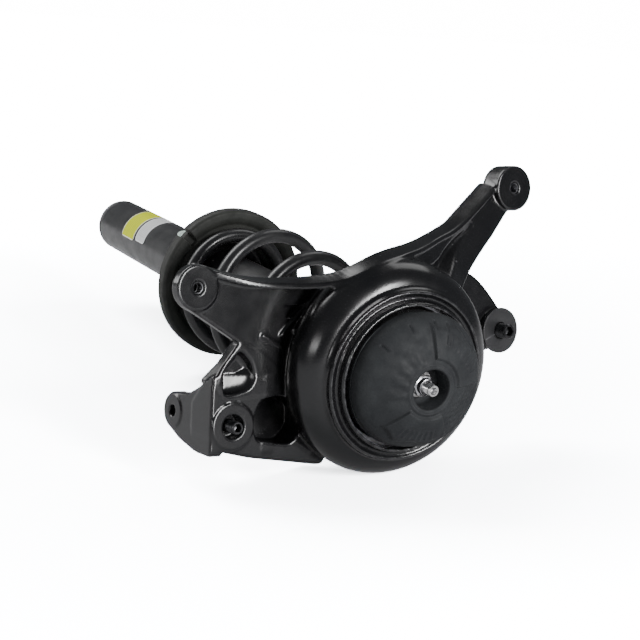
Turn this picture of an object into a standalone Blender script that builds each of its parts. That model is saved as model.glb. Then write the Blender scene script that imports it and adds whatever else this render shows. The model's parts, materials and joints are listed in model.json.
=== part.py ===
"""Coil-over suspension strut with a cast top bracket.

The strut stands upright: +Z runs along the damper from its closed foot to the
threaded rod end, and the origin is the centre of the foot's flat face.
The damper tube and the lower spring seat slide up the piston rod; everything
that is fastened to the vehicle hangs on the cast bracket at the top.
"""
import math

import bmesh
import bpy
from mathutils import Vector

MM = 0.001
GAP = 0.3                     # clearance left between touching pieces, mm

# Damper, all in millimetres above the foot
TUBE_R = 27.5
TUBE_WALL = 2.2
CAP_HEIGHT = 9.0
TUBE_TOP = 396.0
PRESSURE_R = 18.0
PRESSURE_WALL = 1.5
PRESSURE_TOP = 376.0
ROD_R = 6.5
ROD_TIP = 640.0
THREAD_R = 4.75
THREAD_START = 606.0
PISTON_Z = 336.0
GUIDE_Z = 377.0

# Spring and its seats
SEAT_Z = 280.0
SEAT_R = 70.5
WIRE_R = 6.4
COIL_PATH = [                 # turn, coil radius, height
    (0.30, 47.5, 296.2),
    (1.00, 47.5, 297.6),
    (1.35, 53.0, 309.0),
    (2.00, 61.5, 360.0),
    (3.00, 57.5, 434.0),
    (4.00, 57.0, 508.0),
    (4.55, 57.0, 546.0),
    (4.80, 57.0, 557.0),
    (5.45, 57.0, 560.3),
]
COIL_STEPS = 19               # rings of the wire per turn
UPPER_PAD_Z = 567.0
PAD_NOTCH = 80.0              # azimuth of the stop for the wire's end, degrees

# Top mount and dome
DOME_R = 86.0
SHOULDER_R = 23.0             # radius and height of the dome's rounded shoulder
SHOULDER_Z = 574.0
OPENING_R = 56.3
RIM_Z = 608.0
DOME_BOTTOM = 538.0
RUBBER_R = 52.5
HUB_R = 15.5
LOBE = [(25.0, 628.0), (26.0, 636.0), (38.0, 629.8), (46.5, 624.0), (47.5, 616.0)]

# Bracket plane: its faces bolt flat against the body, so the plane is level
# while the strut leans; local x, y lie in the plane and local z is its normal
PLANE_Z = 550.0
PLANE_TILT = 11.3
PLATE_TOP = -1.5
PLATE_THICKNESS = 8.0
BLOCK_BOTTOM = -30.0
BOSS_B = (-34.7, 166.0, 17.0)
BOSS_C = (-106.0, 84.0, 18.4)
BOSS_D = (87.0, -107.0, 16.5)
BOSS_E = (194.4, -52.6, 19.0)
EAR_HOLE = (-110.7, 102.9, -58.0)
EAR_AZIMUTH = 120.0           # direction that the outer ear faces, degrees
EAR_GAP = 34.0                # space between the two ears for a bushing
EAR_THICKNESS = 11.0

BLACK = (0.012, 0.012, 0.013)


# ---------------------------------------------------------------- helpers
def clear_scene():
    for item in list(bpy.data.objects):
        bpy.data.objects.remove(item, do_unlink=True)


def material(name, colour, roughness, metallic=0.0):
    found = bpy.data.materials.get(name)
    if found:
        return found
    made = bpy.data.materials.new(name)
    made.use_nodes = True
    shader = made.node_tree.nodes["Principled BSDF"]
    shader.inputs["Base Color"].default_value = (*colour, 1.0)
    shader.inputs["Roughness"].default_value = roughness
    shader.inputs["Metallic"].default_value = metallic
    return made


def add_object(name, bm, finish, smooth=True):
    """Turn a bmesh drawn in millimetres into an object in metres."""
    bmesh.ops.remove_doubles(bm, verts=bm.verts, dist=0.01)
    bmesh.ops.recalc_face_normals(bm, faces=bm.faces)
    bmesh.ops.scale(bm, vec=Vector((MM, MM, MM)), verts=bm.verts)
    mesh = bpy.data.meshes.new(name)
    bm.to_mesh(mesh)
    bm.free()
    item = bpy.data.objects.new(name, mesh)
    bpy.context.scene.collection.objects.link(item)
    if finish:
        mesh.materials.append(finish)
    if smooth:
        mesh.shade_smooth()
        mesh.set_sharp_from_angle(angle=math.radians(35.0))
    return item


def turned(name, profile, finish, segments=32):
    """Spin a closed outline of (radius, height) points about the Z axis."""
    bm = bmesh.new()
    verts = [bm.verts.new((radius, 0.0, height)) for radius, height in profile]
    count = len(verts)
    edges = []
    for index in range(count):
        start = verts[index]
        end = verts[(index + 1) % count]
        on_axis = start.co.x < 1e-6 and end.co.x < 1e-6
        if not on_axis:
            edges.append(bm.edges.new((start, end)))
    bmesh.ops.spin(bm, geom=verts + edges, cent=(0, 0, 0), axis=(0, 0, 1),
                   angle=2.0 * math.pi, steps=segments, use_merge=True)
    return add_object(name, bm, finish)


def arc(centre, radius, start, end, steps):
    """Points on an arc of (radius, height), angles in degrees."""
    points = []
    for step in range(steps + 1):
        angle = math.radians(start + (end - start) * step / steps)
        points.append((centre[0] + radius * math.cos(angle), centre[1] + radius * math.sin(angle)))
    return points


def circle(x, y, radius, count):
    return [(x + px, y + py) for px, py in arc((0.0, 0.0), radius, 0.0, 360.0, count)[:-1]]


def loft(name, loops, finish=None, smooth=False):
    """Join closed loops of 3-D points, one after another, and cap both ends."""
    bm = bmesh.new()
    rings = [[bm.verts.new(point) for point in loop] for loop in loops]
    count = len(rings[0])
    for lower, upper in zip(rings, rings[1:]):
        for index in range(count):
            after = (index + 1) % count
            bm.faces.new((lower[index], lower[after], upper[after], upper[index]))
    bm.faces.new(list(reversed(rings[0])))
    bm.faces.new(rings[-1])
    return add_object(name, bm, finish, smooth)


def sector(name, profile, start, end, steps=10):
    """Turn a closed outline of (radius, height) points through part of a circle."""
    loops = []
    for step in range(steps + 1):
        angle = math.radians(start + (end - start) * step / steps)
        loops.append([(radius * math.cos(angle), radius * math.sin(angle), height) for radius, height in profile])
    return loft(name, loops)


def prism(name, outline, low, high, finish=None):
    """Extrude an outline of (x, y) points between two heights."""
    floors = [[(x, y, height) for x, y in outline] for height in (low, high)]
    return loft(name, floors, finish)


def drum(name, x, y, radius, low, high, segments=32):
    return prism(name, circle(x, y, radius, segments), low, high)


def tube_along(name, path, radius, finish, sides=8):
    """Sweep a round section along a path whose tangent stays near the horizontal."""
    loops = []
    for index, point in enumerate(path):
        before = Vector(path[max(index - 1, 0)])
        after = Vector(path[min(index + 1, len(path) - 1)])
        tangent = (after - before).normalized()
        side = tangent.cross(Vector((0, 0, 1))).normalized()
        up = side.cross(tangent)
        loop = []
        for step in range(sides):
            angle = 2.0 * math.pi * step / sides
            offset = side * math.cos(angle) + up * math.sin(angle)
            loop.append(Vector(point) + offset * radius)
        loops.append(loop)
    return loft(name, loops, finish, smooth=True)


def boolean(target, operation, tools):
    """Cut or join with a group of guide solids, which the model then hides."""
    group = bpy.data.collections.new(tools[0].name + "_" + operation.lower())
    bpy.context.scene.collection.children.link(group)
    for tool in tools:
        for owner in list(tool.users_collection):
            owner.objects.unlink(tool)
        group.objects.link(tool)
        tool.hide_render = True
        tool.display_type = "WIRE"
    step = target.modifiers.new(operation.title(), "BOOLEAN")
    step.operation = operation
    step.operand_type = "COLLECTION"
    step.collection = group
    step.solver = "EXACT"


def interpolate(table, value):
    """Read the other columns of a table at a value of its first column."""
    spans = list(zip(table, table[1:]))
    left, right = next((span for span in spans if value <= span[1][0]), spans[-1])
    share = (value - left[0]) / (right[0] - left[0])
    return [a + (b - a) * share for a, b in zip(left[1:], right[1:])]


# ---------------------------------------------------------------- finishes
def finishes():
    return {
        "paint": material("gloss_black_paint", BLACK, 0.22),
        "tube": material("satin_black_paint", (0.016, 0.016, 0.017), 0.38),
        "spring": material("spring_coating", (0.02, 0.02, 0.021), 0.45),
        "rubber": material("black_rubber", (0.018, 0.018, 0.018), 0.75),
        "steel": material("bright_steel", (0.62, 0.62, 0.63), 0.3, 1.0),
        "zinc": material("dark_zinc", (0.35, 0.35, 0.36), 0.4, 1.0),
        "foam": material("bump_foam", (0.05, 0.045, 0.04), 0.9),
        "yellow": material("yellow_label", (0.72, 0.66, 0.18), 0.45),
        "silver": material("silver_label", (0.7, 0.71, 0.72), 0.4),
        "green": material("sticker_paper", (0.78, 0.86, 0.82), 0.5),
        "ptfe": material("ptfe_band", (0.1, 0.12, 0.1), 0.5),
    }


# ---------------------------------------------------------------- damper tube
def build_damper(look):
    wall_in = TUBE_R - TUBE_WALL
    turned("tube_end_cap", [
        (0.0, 0.0), (22.0, 0.0), *arc((22.0, 5.5), 5.5, -90.0, 0.0, 4)[1:], (TUBE_R, CAP_HEIGHT),
        (wall_in - GAP, CAP_HEIGHT), (wall_in - GAP, CAP_HEIGHT + 6.0), (0.0, CAP_HEIGHT + 6.0),
    ], look["tube"])
    turned("damper_tube", [
        (wall_in, CAP_HEIGHT + GAP), (TUBE_R, CAP_HEIGHT + GAP), (TUBE_R, TUBE_TOP - 3.0),
        (TUBE_R - 1.2, TUBE_TOP), (wall_in, TUBE_TOP),
    ], look["tube"])
    base_top = CAP_HEIGHT + 6.0 + GAP
    turned("base_valve", [
        (0.0, base_top), (22.0, base_top), (22.0, base_top + 5.0), (PRESSURE_R, base_top + 9.0),
        (15.5, base_top + 9.0), (15.5, base_top + 16.0), (6.0, base_top + 20.0), (0.0, base_top + 20.0),
    ], look["zinc"], segments=24)
    turned("pressure_tube", [
        (PRESSURE_R - PRESSURE_WALL, base_top + 9.0 + GAP), (PRESSURE_R, base_top + 9.0 + GAP),
        (PRESSURE_R, PRESSURE_TOP), (PRESSURE_R - PRESSURE_WALL, PRESSURE_TOP),
    ], look["steel"], segments=24)
    turned("rod_guide", [
        (ROD_R + 0.1, GUIDE_Z - 6.0), (PRESSURE_R - PRESSURE_WALL - GAP, GUIDE_Z - 6.0),
        (PRESSURE_R - PRESSURE_WALL - GAP, PRESSURE_TOP + GAP), (wall_in - GAP, PRESSURE_TOP + GAP),
        (wall_in - GAP, GUIDE_Z + 9.0), (14.5, GUIDE_Z + 9.0), (14.5, GUIDE_Z + 3.0),
        (ROD_R + 0.1, GUIDE_Z + 3.0),
    ], look["zinc"], segments=28)
    turned("rod_seal", [
        (ROD_R + 0.1, GUIDE_Z + 3.0 + GAP), (14.5 - GAP, GUIDE_Z + 3.0 + GAP),
        (14.5 - GAP, GUIDE_Z + 10.5), (10.0, GUIDE_Z + 13.0), (ROD_R + 0.1, GUIDE_Z + 13.0),
    ], look["rubber"], segments=24)
    cap_in = TUBE_R + GAP
    turned("tube_top_cap", [
        (9.0, TUBE_TOP + GAP), (TUBE_R - 1.0, TUBE_TOP + GAP), (cap_in, TUBE_TOP - 3.0),
        (cap_in, TUBE_TOP - 14.0), (cap_in + 1.8, TUBE_TOP - 14.0), (cap_in + 1.8, TUBE_TOP - 1.0),
        (TUBE_R - 1.0, TUBE_TOP + 2.2), (9.0, TUBE_TOP + 2.2),
    ], look["zinc"])


def build_piston(look):
    turned("piston_rod", [
        (0.0, PISTON_Z - 14.0), (4.0, PISTON_Z - 14.0), (4.0, PISTON_Z + 20.0), (ROD_R, PISTON_Z + 20.0),
        (ROD_R, THREAD_START), (THREAD_R, THREAD_START + 2.0), (THREAD_R, ROD_TIP - 1.0),
        (THREAD_R - 1.0, ROD_TIP), (2.6, ROD_TIP), (2.6, ROD_TIP - 6.0), (0.0, ROD_TIP - 6.0),
    ], look["steel"], segments=24)
    bore = PRESSURE_R - PRESSURE_WALL
    turned("piston", [
        (4.0 + GAP, PISTON_Z), (14.6, PISTON_Z), (bore - 0.6, PISTON_Z + 2.0), (bore - 0.6, PISTON_Z + 4.0),
        (14.6, PISTON_Z + 4.0), (14.6, PISTON_Z + 12.0), (bore - 0.6, PISTON_Z + 12.0),
        (bore - 0.6, PISTON_Z + 14.0), (14.6, PISTON_Z + 16.0), (4.0 + GAP, PISTON_Z + 16.0),
    ], look["zinc"], segments=24)
    turned("piston_band", [
        (14.6 + GAP, PISTON_Z + 4.0 + GAP), (bore - 0.1, PISTON_Z + 4.0 + GAP),
        (bore - 0.1, PISTON_Z + 12.0 - GAP), (14.6 + GAP, PISTON_Z + 12.0 - GAP),
    ], look["ptfe"], segments=24)
    turned("valve_shims", [
        (4.0 + GAP, PISTON_Z - 2.6), (9.0, PISTON_Z - 2.6), (12.0, PISTON_Z - GAP), (4.0 + GAP, PISTON_Z - GAP),
    ], look["steel"], segments=24)
    nut_profile = circle(0.0, 0.0, 8.2, 6)
    nut = prism("piston_nut", nut_profile, PISTON_Z - 10.0, PISTON_Z - 2.6 - GAP, look["zinc"])
    boolean(nut, "DIFFERENCE", [drum("piston_nut_bore", 0.0, 0.0, 4.0 + GAP, PISTON_Z - 12.0, PISTON_Z, 24)])
    turned("rebound_stop", [
        (ROD_R + GAP, PISTON_Z + 20.0 + GAP), (13.0, PISTON_Z + 20.0 + GAP), (14.0, PISTON_Z + 26.0),
        (13.0, GUIDE_Z - 6.0 - GAP), (ROD_R + GAP, GUIDE_Z - 6.0 - GAP),
    ], look["rubber"], segments=24)


# ---------------------------------------------------------------- spring
def build_spring(look):
    bore = TUBE_R + GAP
    turned("lower_spring_seat", [
        (bore, SEAT_Z - 22.0), (bore + 3.0, SEAT_Z - 22.0), (bore + 3.0, SEAT_Z - 8.0), (38.0, SEAT_Z - 3.2),
        (60.0, SEAT_Z - 3.2), (66.0, SEAT_Z + 1.0), (66.0, SEAT_Z + 4.0), (63.0, SEAT_Z + 4.0),
        (58.5, SEAT_Z), (37.0, SEAT_Z), (bore, SEAT_Z - 5.0),
    ], look["tube"], segments=40)
    pad = turned("lower_spring_pad", [
        (40.0, SEAT_Z + GAP), (58.0, SEAT_Z + GAP), (62.0, SEAT_Z + 4.0 + GAP), (66.0 + GAP, SEAT_Z + 4.0 + GAP),
        (66.0 + GAP, SEAT_Z - 1.0), (SEAT_R, SEAT_Z), (SEAT_R, SEAT_Z + 11.0), (SEAT_R - 2.0, SEAT_Z + 13.0),
        (62.0, SEAT_Z + 13.0), (56.5, SEAT_Z + 9.5), (40.0, SEAT_Z + 9.5),
    ], look["rubber"], segments=44)
    notch_plan = [(55.5, -4.5), (66.6, -4.5), (66.6, 4.5), (55.5, 4.5)]
    notch = prism("pad_notch", notch_plan, SEAT_Z + 5.5, SEAT_Z + 20.0)
    split = prism("pad_split", [(66.4, -4.5), (76.0, -4.5), (76.0, 4.5), (66.4, 4.5)], SEAT_Z - 5.0, SEAT_Z + 20.0)
    for cutter in (notch, split):
        cutter.rotation_euler = (0.0, 0.0, math.radians(PAD_NOTCH))
    boolean(pad, "DIFFERENCE", [notch, split])
    path = []
    turns = COIL_PATH[-1][0] - COIL_PATH[0][0]
    steps = int(turns * COIL_STEPS)
    for step in range(steps + 1):
        turn = COIL_PATH[0][0] + turns * step / steps
        radius, height = interpolate(COIL_PATH, turn)
        angle = 2.0 * math.pi * turn
        path.append((radius * math.cos(angle), radius * math.sin(angle), height))
    tube_along("coil_spring", path, WIRE_R, look["spring"])
    turned("upper_spring_pad", [
        (48.0, UPPER_PAD_Z), (64.0, UPPER_PAD_Z), (68.5, UPPER_PAD_Z - 6.0), (71.0, UPPER_PAD_Z - 6.0),
        (71.0, UPPER_PAD_Z + 3.0), (66.0, UPPER_PAD_Z + 6.5), (48.0, UPPER_PAD_Z + 6.5),
    ], look["rubber"], segments=32)
    plate = UPPER_PAD_Z + 6.5 + GAP
    turned("upper_spring_seat", [
        (34.0, plate), (70.8, plate), (70.8, 586.0), (67.5, 586.0), (67.5, plate + 2.4), (34.0, plate + 2.4),
    ], look["tube"], segments=40)


def bellows_profile(low, high, folds, outer, inner, wall):
    """Outline of a folded boot wall, up the outside and down the inside."""
    outside = []
    inside = []
    for step in range(2 * folds + 1):
        height = low + (high - low) * step / (2 * folds)
        radius = outer if step % 2 else inner
        outside.append((radius, height))
        inside.append((radius - wall, height))
    return outside + inside[::-1]


def build_boot(look):
    turned("dust_boot", bellows_profile(TUBE_TOP + 2.6, 574.0, 6, 31.0, 26.5, 1.4), look["rubber"], segments=24)
    turned("bump_stop", [
        (ROD_R + 0.6, 509.0), (12.0, 509.0), (15.0, 514.0), (15.0, 520.0), (19.5, 530.0), (17.0, 540.0),
        (20.5, 550.0), (20.5, 572.0), (ROD_R + 0.6, 572.0),
    ], look["foam"], segments=24)
    turned("bump_stop_cup", [
        (ROD_R + GAP, 572.0 + GAP), (21.0, 572.0 + GAP), (21.0, 562.0), (22.5, 562.0), (22.5, 574.4),
        (33.0, 574.4), (33.0, 576.4), (ROD_R + GAP, 576.4),
    ], look["zinc"], segments=24)


# ---------------------------------------------------------------- top mount
def build_top_mount(look):
    lower = 576.4 + GAP
    turned("mount_sleeve", [
        (THREAD_R + GAP, THREAD_START + 2.5), (ROD_R + GAP, THREAD_START), (ROD_R + GAP, lower), (13.0, lower),
        (13.0, 600.0), (11.0, 619.0), (THREAD_R + GAP, 619.0),
    ], look["zinc"], segments=24)
    rubber = turned("top_mount_rubber", [
        (13.0 + GAP, lower), (64.0, lower), (64.0, 584.0), (50.0, 584.0), (50.0, 594.0), (RUBBER_R, 600.0),
        (RUBBER_R, 610.0), (50.5, 617.0), (46.0, 622.5), (38.0, 628.0), (28.0, 633.5), (19.0, 637.0),
        (HUB_R, 637.5), (HUB_R, 622.0), (11.0 + GAP, 619.0), (13.0 + GAP, 600.0),
    ], look["rubber"], segments=44)
    lobes = [sector("rubber_lobe_upper", LOBE, -58.0, 32.0), sector("rubber_lobe_lower", LOBE, 165.0, 245.0)]
    boolean(rubber, "UNION", lobes)
    turned("mount_clamp_ring", [
        (50.0 + GAP, 584.0 + GAP), (66.5, 584.0 + GAP), (66.5, 589.0), (62.0, 593.6), (54.0, 593.6),
        (50.0 + GAP, 590.0),
    ], look["zinc"], segments=40)
    nut = prism("rod_nut", circle(0.0, 0.0, 8.6, 6), 620.6 + GAP, 627.0, look["steel"])
    boolean(nut, "UNION", [drum("rod_nut_collar", 0.0, 0.0, 6.6, 622.0, 631.0)])
    nut_bores = [
        drum("rod_nut_bore", 0.0, 0.0, THREAD_R + GAP, 618.0, 634.0, 24),
        drum("rod_nut_lip", 0.0, 0.0, 5.9, 629.4, 634.0, 24),
    ]
    boolean(nut, "DIFFERENCE", nut_bores)
    turned("rod_washer", [
        (THREAD_R + GAP, 619.0 + GAP), (10.5, 619.0 + GAP), (10.5, 620.6), (THREAD_R + GAP, 620.6),
    ], look["steel"], segments=24)


# ---------------------------------------------------------------- bracket
def rail(name, path, section):
    """Sweep a section of (outward, up) offsets along a path in the bracket plane.

    Outward is to the left of the direction of travel.
    """
    loops = []
    for index, point in enumerate(path):
        before = path[max(index - 1, 0)]
        after = path[min(index + 1, len(path) - 1)]
        along = Vector((after[0] - before[0], after[1] - before[1])).normalized()
        outward = Vector((-along.y, along.x))
        loop = []
        for offset, up in section:
            loop.append((point[0] + outward.x * offset, point[1] + outward.y * offset, point[2] + up))
        loops.append(loop)
    return loft(name, loops)


def smooth_path(points, per_span=4):
    """Catmull-Rom curve through 3-D points."""
    padded = [points[0]] + list(points) + [points[-1]]
    path = []
    for index in range(len(points) - 1):
        a, b, c, d = (Vector(padded[index + step]) for step in range(4))
        for step in range(per_span):
            t = step / per_span
            path.append(0.5 * (2 * b + (c - a) * t + (2 * a - 5 * b + 4 * c - d) * t * t
                               + (3 * b - a - 3 * c + d) * t * t * t))
    path.append(Vector(points[-1]))
    return path


# Upper edge of the long flange, from the rear boss over the dome to the front boss
FLANGE = [(-20.0, 170.0, -1.5), (-9.0, 134.0, 4.0), (5.0, 107.0, 16.0), (26.0, 80.0, 35.0), (56.0, 58.0, 39.0),
          (85.0, 28.0, 29.0), (108.0, 7.0, 18.0), (134.0, -13.0, 9.0), (184.0, -36.0, -3.0)]
# Upper edge of the short rib on the far side of the front arm
RIB = [(78.0, -35.0, 24.0), (98.0, -42.0, 12.0), (119.0, -48.5, 4.0), (149.0, -55.5, -1.0), (184.0, -62.0, -4.0)]


def ear_plate(name, shift, thickness, outline):
    """A plate that hangs below the bracket, square to the ear axis."""
    azimuth = math.radians(EAR_AZIMUTH)
    facing = Vector((math.cos(azimuth), math.sin(azimuth), 0.0))
    along = Vector((math.sin(azimuth), -math.cos(azimuth), 0.0))
    centre = Vector((EAR_HOLE[0], EAR_HOLE[1], 0.0)) - facing * shift
    loops = []
    for depth in (thickness, 0.0):
        loops.append([centre - facing * depth + along * s + Vector((0.0, 0.0, height)) for s, height in outline])
    return loft(name, loops)


def ear_outline():
    bottom = arc((0.0, EAR_HOLE[2]), 14.6, 10.0, -160.0, 8)
    return [(-28.0, -3.0), (42.0, -3.0), (30.0, -19.0), (19.0, -35.0), *bottom, (-21.0, -47.0), (-27.0, -24.0)]


def ear_drum(name, radius, near, far, segments=24):
    """A cylinder on the ear axis, between two distances behind the outer face."""
    azimuth = math.radians(EAR_AZIMUTH)
    facing = Vector((math.cos(azimuth), math.sin(azimuth), 0.0))
    along = Vector((math.sin(azimuth), -math.cos(azimuth), 0.0))
    centre = Vector(EAR_HOLE)
    loops = []
    for depth in (far, near):
        ring = []
        for px, py in circle(0.0, 0.0, radius, segments):
            ring.append(centre - facing * depth + along * px + Vector((0.0, 0.0, py)))
        loops.append(ring)
    return loft(name, loops)


def plate_outline():
    """Plan of the broad plate between the rear boss, the ear block and the dome."""
    flange = [(point.x, point.y) for point in smooth_path(FLANGE[:5], 3)]
    return [(-51.5, 166.0), (-51.5, 137.0), (-52.0, 111.0), (-75.0, 117.0), (-87.0, 116.6), (-95.0, 90.0),
            (-90.0, 10.0), (0.0, -20.0), *flange[::-1]]


def block_outline():
    """Plan of the deep block that carries the ears and boss C."""
    return [(-87.0, 116.6), (-123.0, 95.8), (-127.5, 84.0), (-119.0, 57.0), (-93.0, -6.0), (-60.0, 0.0),
            (-58.0, 60.0), (-66.0, 92.0)]


def pocket_floor():
    """Sloping metal that closes the upper pocket from below, beside the deep block."""
    outline = [(-87.0, 116.6), (-90.0, 100.0), (-60.0, 58.0), (-50.0, 62.0), (-47.0, 92.0), (-50.5, 112.0)]
    depths = (-30.0, -30.0, -24.0, -16.0, -14.0, -14.0)
    lower = [(x, y, depth) for (x, y), depth in zip(outline, depths)]
    upper = [(x, y, PLATE_TOP - 1.0) for x, y in outline]
    return loft("pocket_floor", [lower, upper])


def dome_outer():
    """Half section of the dome: a neck round the spring that swells into a broad shoulder."""
    shoulder = arc((DOME_R - SHOULDER_R, SHOULDER_Z), SHOULDER_R, -25.0, 71.0, 7)
    return [(0.0, DOME_BOTTOM), (73.5, DOME_BOTTOM), (75.5, DOME_BOTTOM + 2.0), (75.5, 551.0), (79.0, 557.0),
            *shoulder, (67.6, 598.8), (65.6, 603.0), (63.5, 602.6), (60.5, 602.6), (59.6, 606.6),
            (58.0, RIM_Z), (0.0, RIM_Z)]


def dome_hollow():
    """Half section of the space inside the dome and through its opening."""
    ceiling = arc((61.0, SHOULDER_Z - 0.5), SHOULDER_R - 3.5, 8.0, 80.0, 4)
    return [(0.0, DOME_BOTTOM - 30.0), (71.5, DOME_BOTTOM - 30.0), (71.5, 560.0), (76.5, 568.0), *ceiling,
            (60.0, 594.6), (OPENING_R, 598.0), (OPENING_R, RIM_Z - 1.5), (OPENING_R + 1.0, RIM_Z + 3.0),
            (0.0, RIM_Z + 3.0)]


def arm_web():
    """Floor of the channel between the long flange and the short rib."""
    loops = []
    for share in (0.0, 0.33, 0.66, 1.0):
        left = Vector(FLANGE[4]).lerp(Vector(FLANGE[-1]), share)
        left = left + Vector((-6.0, -6.0 - 14.0 * share * (1.0 - share), 0.0))
        right = Vector(RIB[0]).lerp(Vector(RIB[-1]), share)
        floor = 14.0 - 24.0 * share
        loops.append([(left.x, left.y, floor), (left.x, left.y, floor - 7.0),
                      (right.x, right.y, floor - 13.0), (right.x, right.y, floor - 6.0)])
    return loft("arm_web", loops)


def gusset(name, azimuth, reach, foot, top):
    """A thin three-cornered rib between the plate and the dome wall."""
    out = Vector((math.cos(math.radians(azimuth)), math.sin(math.radians(azimuth)), 0.0))
    side = Vector((-out.y, out.x, 0.0)) * 2.2
    corners = [out * 84.0 + Vector((0, 0, foot)), out * reach + Vector((0, 0, foot)),
               out * (reach - 3.0) + Vector((0, 0, foot + 4.0)), out * 84.0 + Vector((0, 0, top))]
    return loft(name, [[corner - side for corner in corners], [corner + side for corner in corners]])


def build_bracket(look):
    plane = bpy.data.objects.new("bracket_plane", None)
    bpy.context.scene.collection.objects.link(plane)
    plane.location = (0.0, 0.0, PLANE_Z * MM)
    plane.rotation_euler = (0.0, math.radians(PLANE_TILT), 0.0)

    bracket = prism("mount_bracket", plate_outline(), PLATE_TOP - PLATE_THICKNESS, PLATE_TOP, look["paint"])
    block = [
        prism("ear_block", block_outline(), BLOCK_BOTTOM, PLATE_TOP),
        pocket_floor(),
        ear_plate("outer_ear", 0.0, EAR_THICKNESS, ear_outline()),
        ear_plate("inner_ear", EAR_THICKNESS + EAR_GAP, EAR_THICKNESS - 1.0, ear_outline()),
        ear_drum("ear_face", 13.2, -1.0, 4.0),
    ]
    boolean(bracket, "UNION", block)
    glossy = prism("upper_pocket", [(-57.0, 107.0), (-76.0, 110.5), (-88.0, 103.5), (-74.0, 88.0), (-66.0, 88.0)],
                   -9.0, 5.0)
    dark = prism("lower_pocket", [(-83.0, 76.0), (-72.0, 74.0), (-66.0, 60.0), (-78.0, 40.0), (-90.0, 26.0),
                                  (-101.0, 46.0), (-100.0, 58.0), (-90.0, 66.0)], -24.0, 5.0)
    relief = prism("relief_pocket", arc((0.0, 0.0), 88.0, 92.0, 118.0, 5) + arc((0.0, 0.0), 96.0, 118.0, 92.0, 5),
                   -5.5, 5.0)
    boolean(bracket, "DIFFERENCE", [glossy, dark, relief])

    dome = turned("dome_body", dome_outer(), None, segments=52)
    flange = rail("long_flange", smooth_path(FLANGE, 3), [(-5.0, 0.0), (0.5, 0.0), (3.5, -14.0), (-3.0, -14.0)])
    rib = rail("short_rib", smooth_path(RIB, 2), [(3.5, 0.0), (4.0, -14.0), (-2.5, -14.0), (-1.0, 0.0)])
    front_arm = prism("side_arm", [(60.0, -36.0), (106.0, -42.0), (113.0, -56.0), (111.0, -76.0), (103.8, -107.0),
                                   (88.0, -116.0), (71.0, -110.0), (40.0, -76.0)], -24.0, -7.0)
    bosses = [
        drum("boss_b", *BOSS_B, -9.5, 0.0),
        drum("boss_c", *BOSS_C, BLOCK_BOTTOM, 0.0),
        drum("boss_d", *BOSS_D, -24.0, -3.0),
        drum("boss_e", *BOSS_E, -20.0, 0.0),
    ]
    solids = [dome, flange, rib, arm_web(), front_arm, *bosses, gusset("gusset", 126.0, 106.0, -6.0, 12.0)]
    boolean(bracket, "UNION", solids)

    hollow = turned("dome_hollow", dome_hollow(), None, segments=52)
    holes = [
        drum("hole_b", BOSS_B[0], BOSS_B[1], 5.0, -25.0, 2.0, 24),
        drum("hole_c", BOSS_C[0], BOSS_C[1], 9.3, -12.0, 2.0, 28),
        drum("hole_d", BOSS_D[0], BOSS_D[1], 6.5, -20.0, 2.0, 24),
        drum("hole_e", BOSS_E[0], BOSS_E[1], 5.0, -21.0, 2.0, 24),
        ear_drum("ear_hole", 4.4, -5.0, 70.0),
    ]
    boolean(bracket, "DIFFERENCE", [hollow, *holes])

    for item in [bracket, *block, glossy, dark, relief, *solids, *holes]:
        if item is not dome:
            item.parent = plane
    build_fasteners(look, plane)


def build_fasteners(look, plane):
    pieces = []
    stud = prism("stud_c", circle(BOSS_C[0], BOSS_C[1], 5.0, 24), -12.0 + GAP, 6.0, look["zinc"])
    boolean(stud, "DIFFERENCE", [prism("stud_c_socket", circle(BOSS_C[0], BOSS_C[1], 2.9, 6), -1.0, 8.0)])
    pieces.append(stud)
    washer = prism("washer_d", circle(BOSS_D[0], BOSS_D[1], 19.2, 40), -3.0 + GAP, 0.0, look["paint"])
    washer_bore = drum("washer_d_bore", BOSS_D[0], BOSS_D[1], 6.6, -5.0, 2.0, 24)
    boolean(washer, "DIFFERENCE", [washer_bore])
    pieces.append(washer)
    stud_d = prism("stud_d", circle(BOSS_D[0], BOSS_D[1], 6.2, 24), -20.0 + GAP, 11.0, look["zinc"])
    socket_d = prism("stud_d_socket", circle(BOSS_D[0], BOSS_D[1], 4.0, 6), 5.0, 15.0)
    boolean(stud_d, "DIFFERENCE", [socket_d])
    pieces.append(stud_d)
    for letter, boss, low in (("b", BOSS_B, -8.6), ("e", BOSS_E, -19.0)):
        insert = prism("thread_insert_" + letter, circle(boss[0], boss[1], 5.0 - GAP, 24), low, -0.8, look["steel"])
        bore = drum("insert_bore_" + letter, boss[0], boss[1], 3.7, low - 2.0, 2.0, 20)
        boolean(insert, "DIFFERENCE", [bore])
        pieces.append(insert)
        bore.parent = plane
    for name in ("stud_c_socket", "washer_d_bore", "stud_d_socket"):
        bpy.data.objects[name].parent = plane
    for piece in pieces:
        piece.parent = plane


# ---------------------------------------------------------------- labels
def label(name, azimuth, span, low, high, finish, thickness=0.35, round_corners=False):
    """A thin patch wrapped round the tube between two heights."""
    inner = TUBE_R + 0.15
    columns = 12
    loops = []
    for column in range(columns + 1):
        share = 2.0 * column / columns - 1.0
        angle = math.radians(azimuth + 0.5 * span * share)
        shrink = 1.0
        if round_corners:
            shrink = max(math.sqrt(1.0 - share * share), 0.18)
        middle = 0.5 * (low + high)
        half = 0.5 * (high - low) * shrink
        loop = []
        for radius, height in ((inner, middle - half), (inner + thickness, middle - half),
                               (inner + thickness, middle + half), (inner, middle + half)):
            loop.append((radius * math.cos(angle), radius * math.sin(angle), height))
        loops.append(loop)
    return loft(name, loops, finish, smooth=True)


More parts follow.
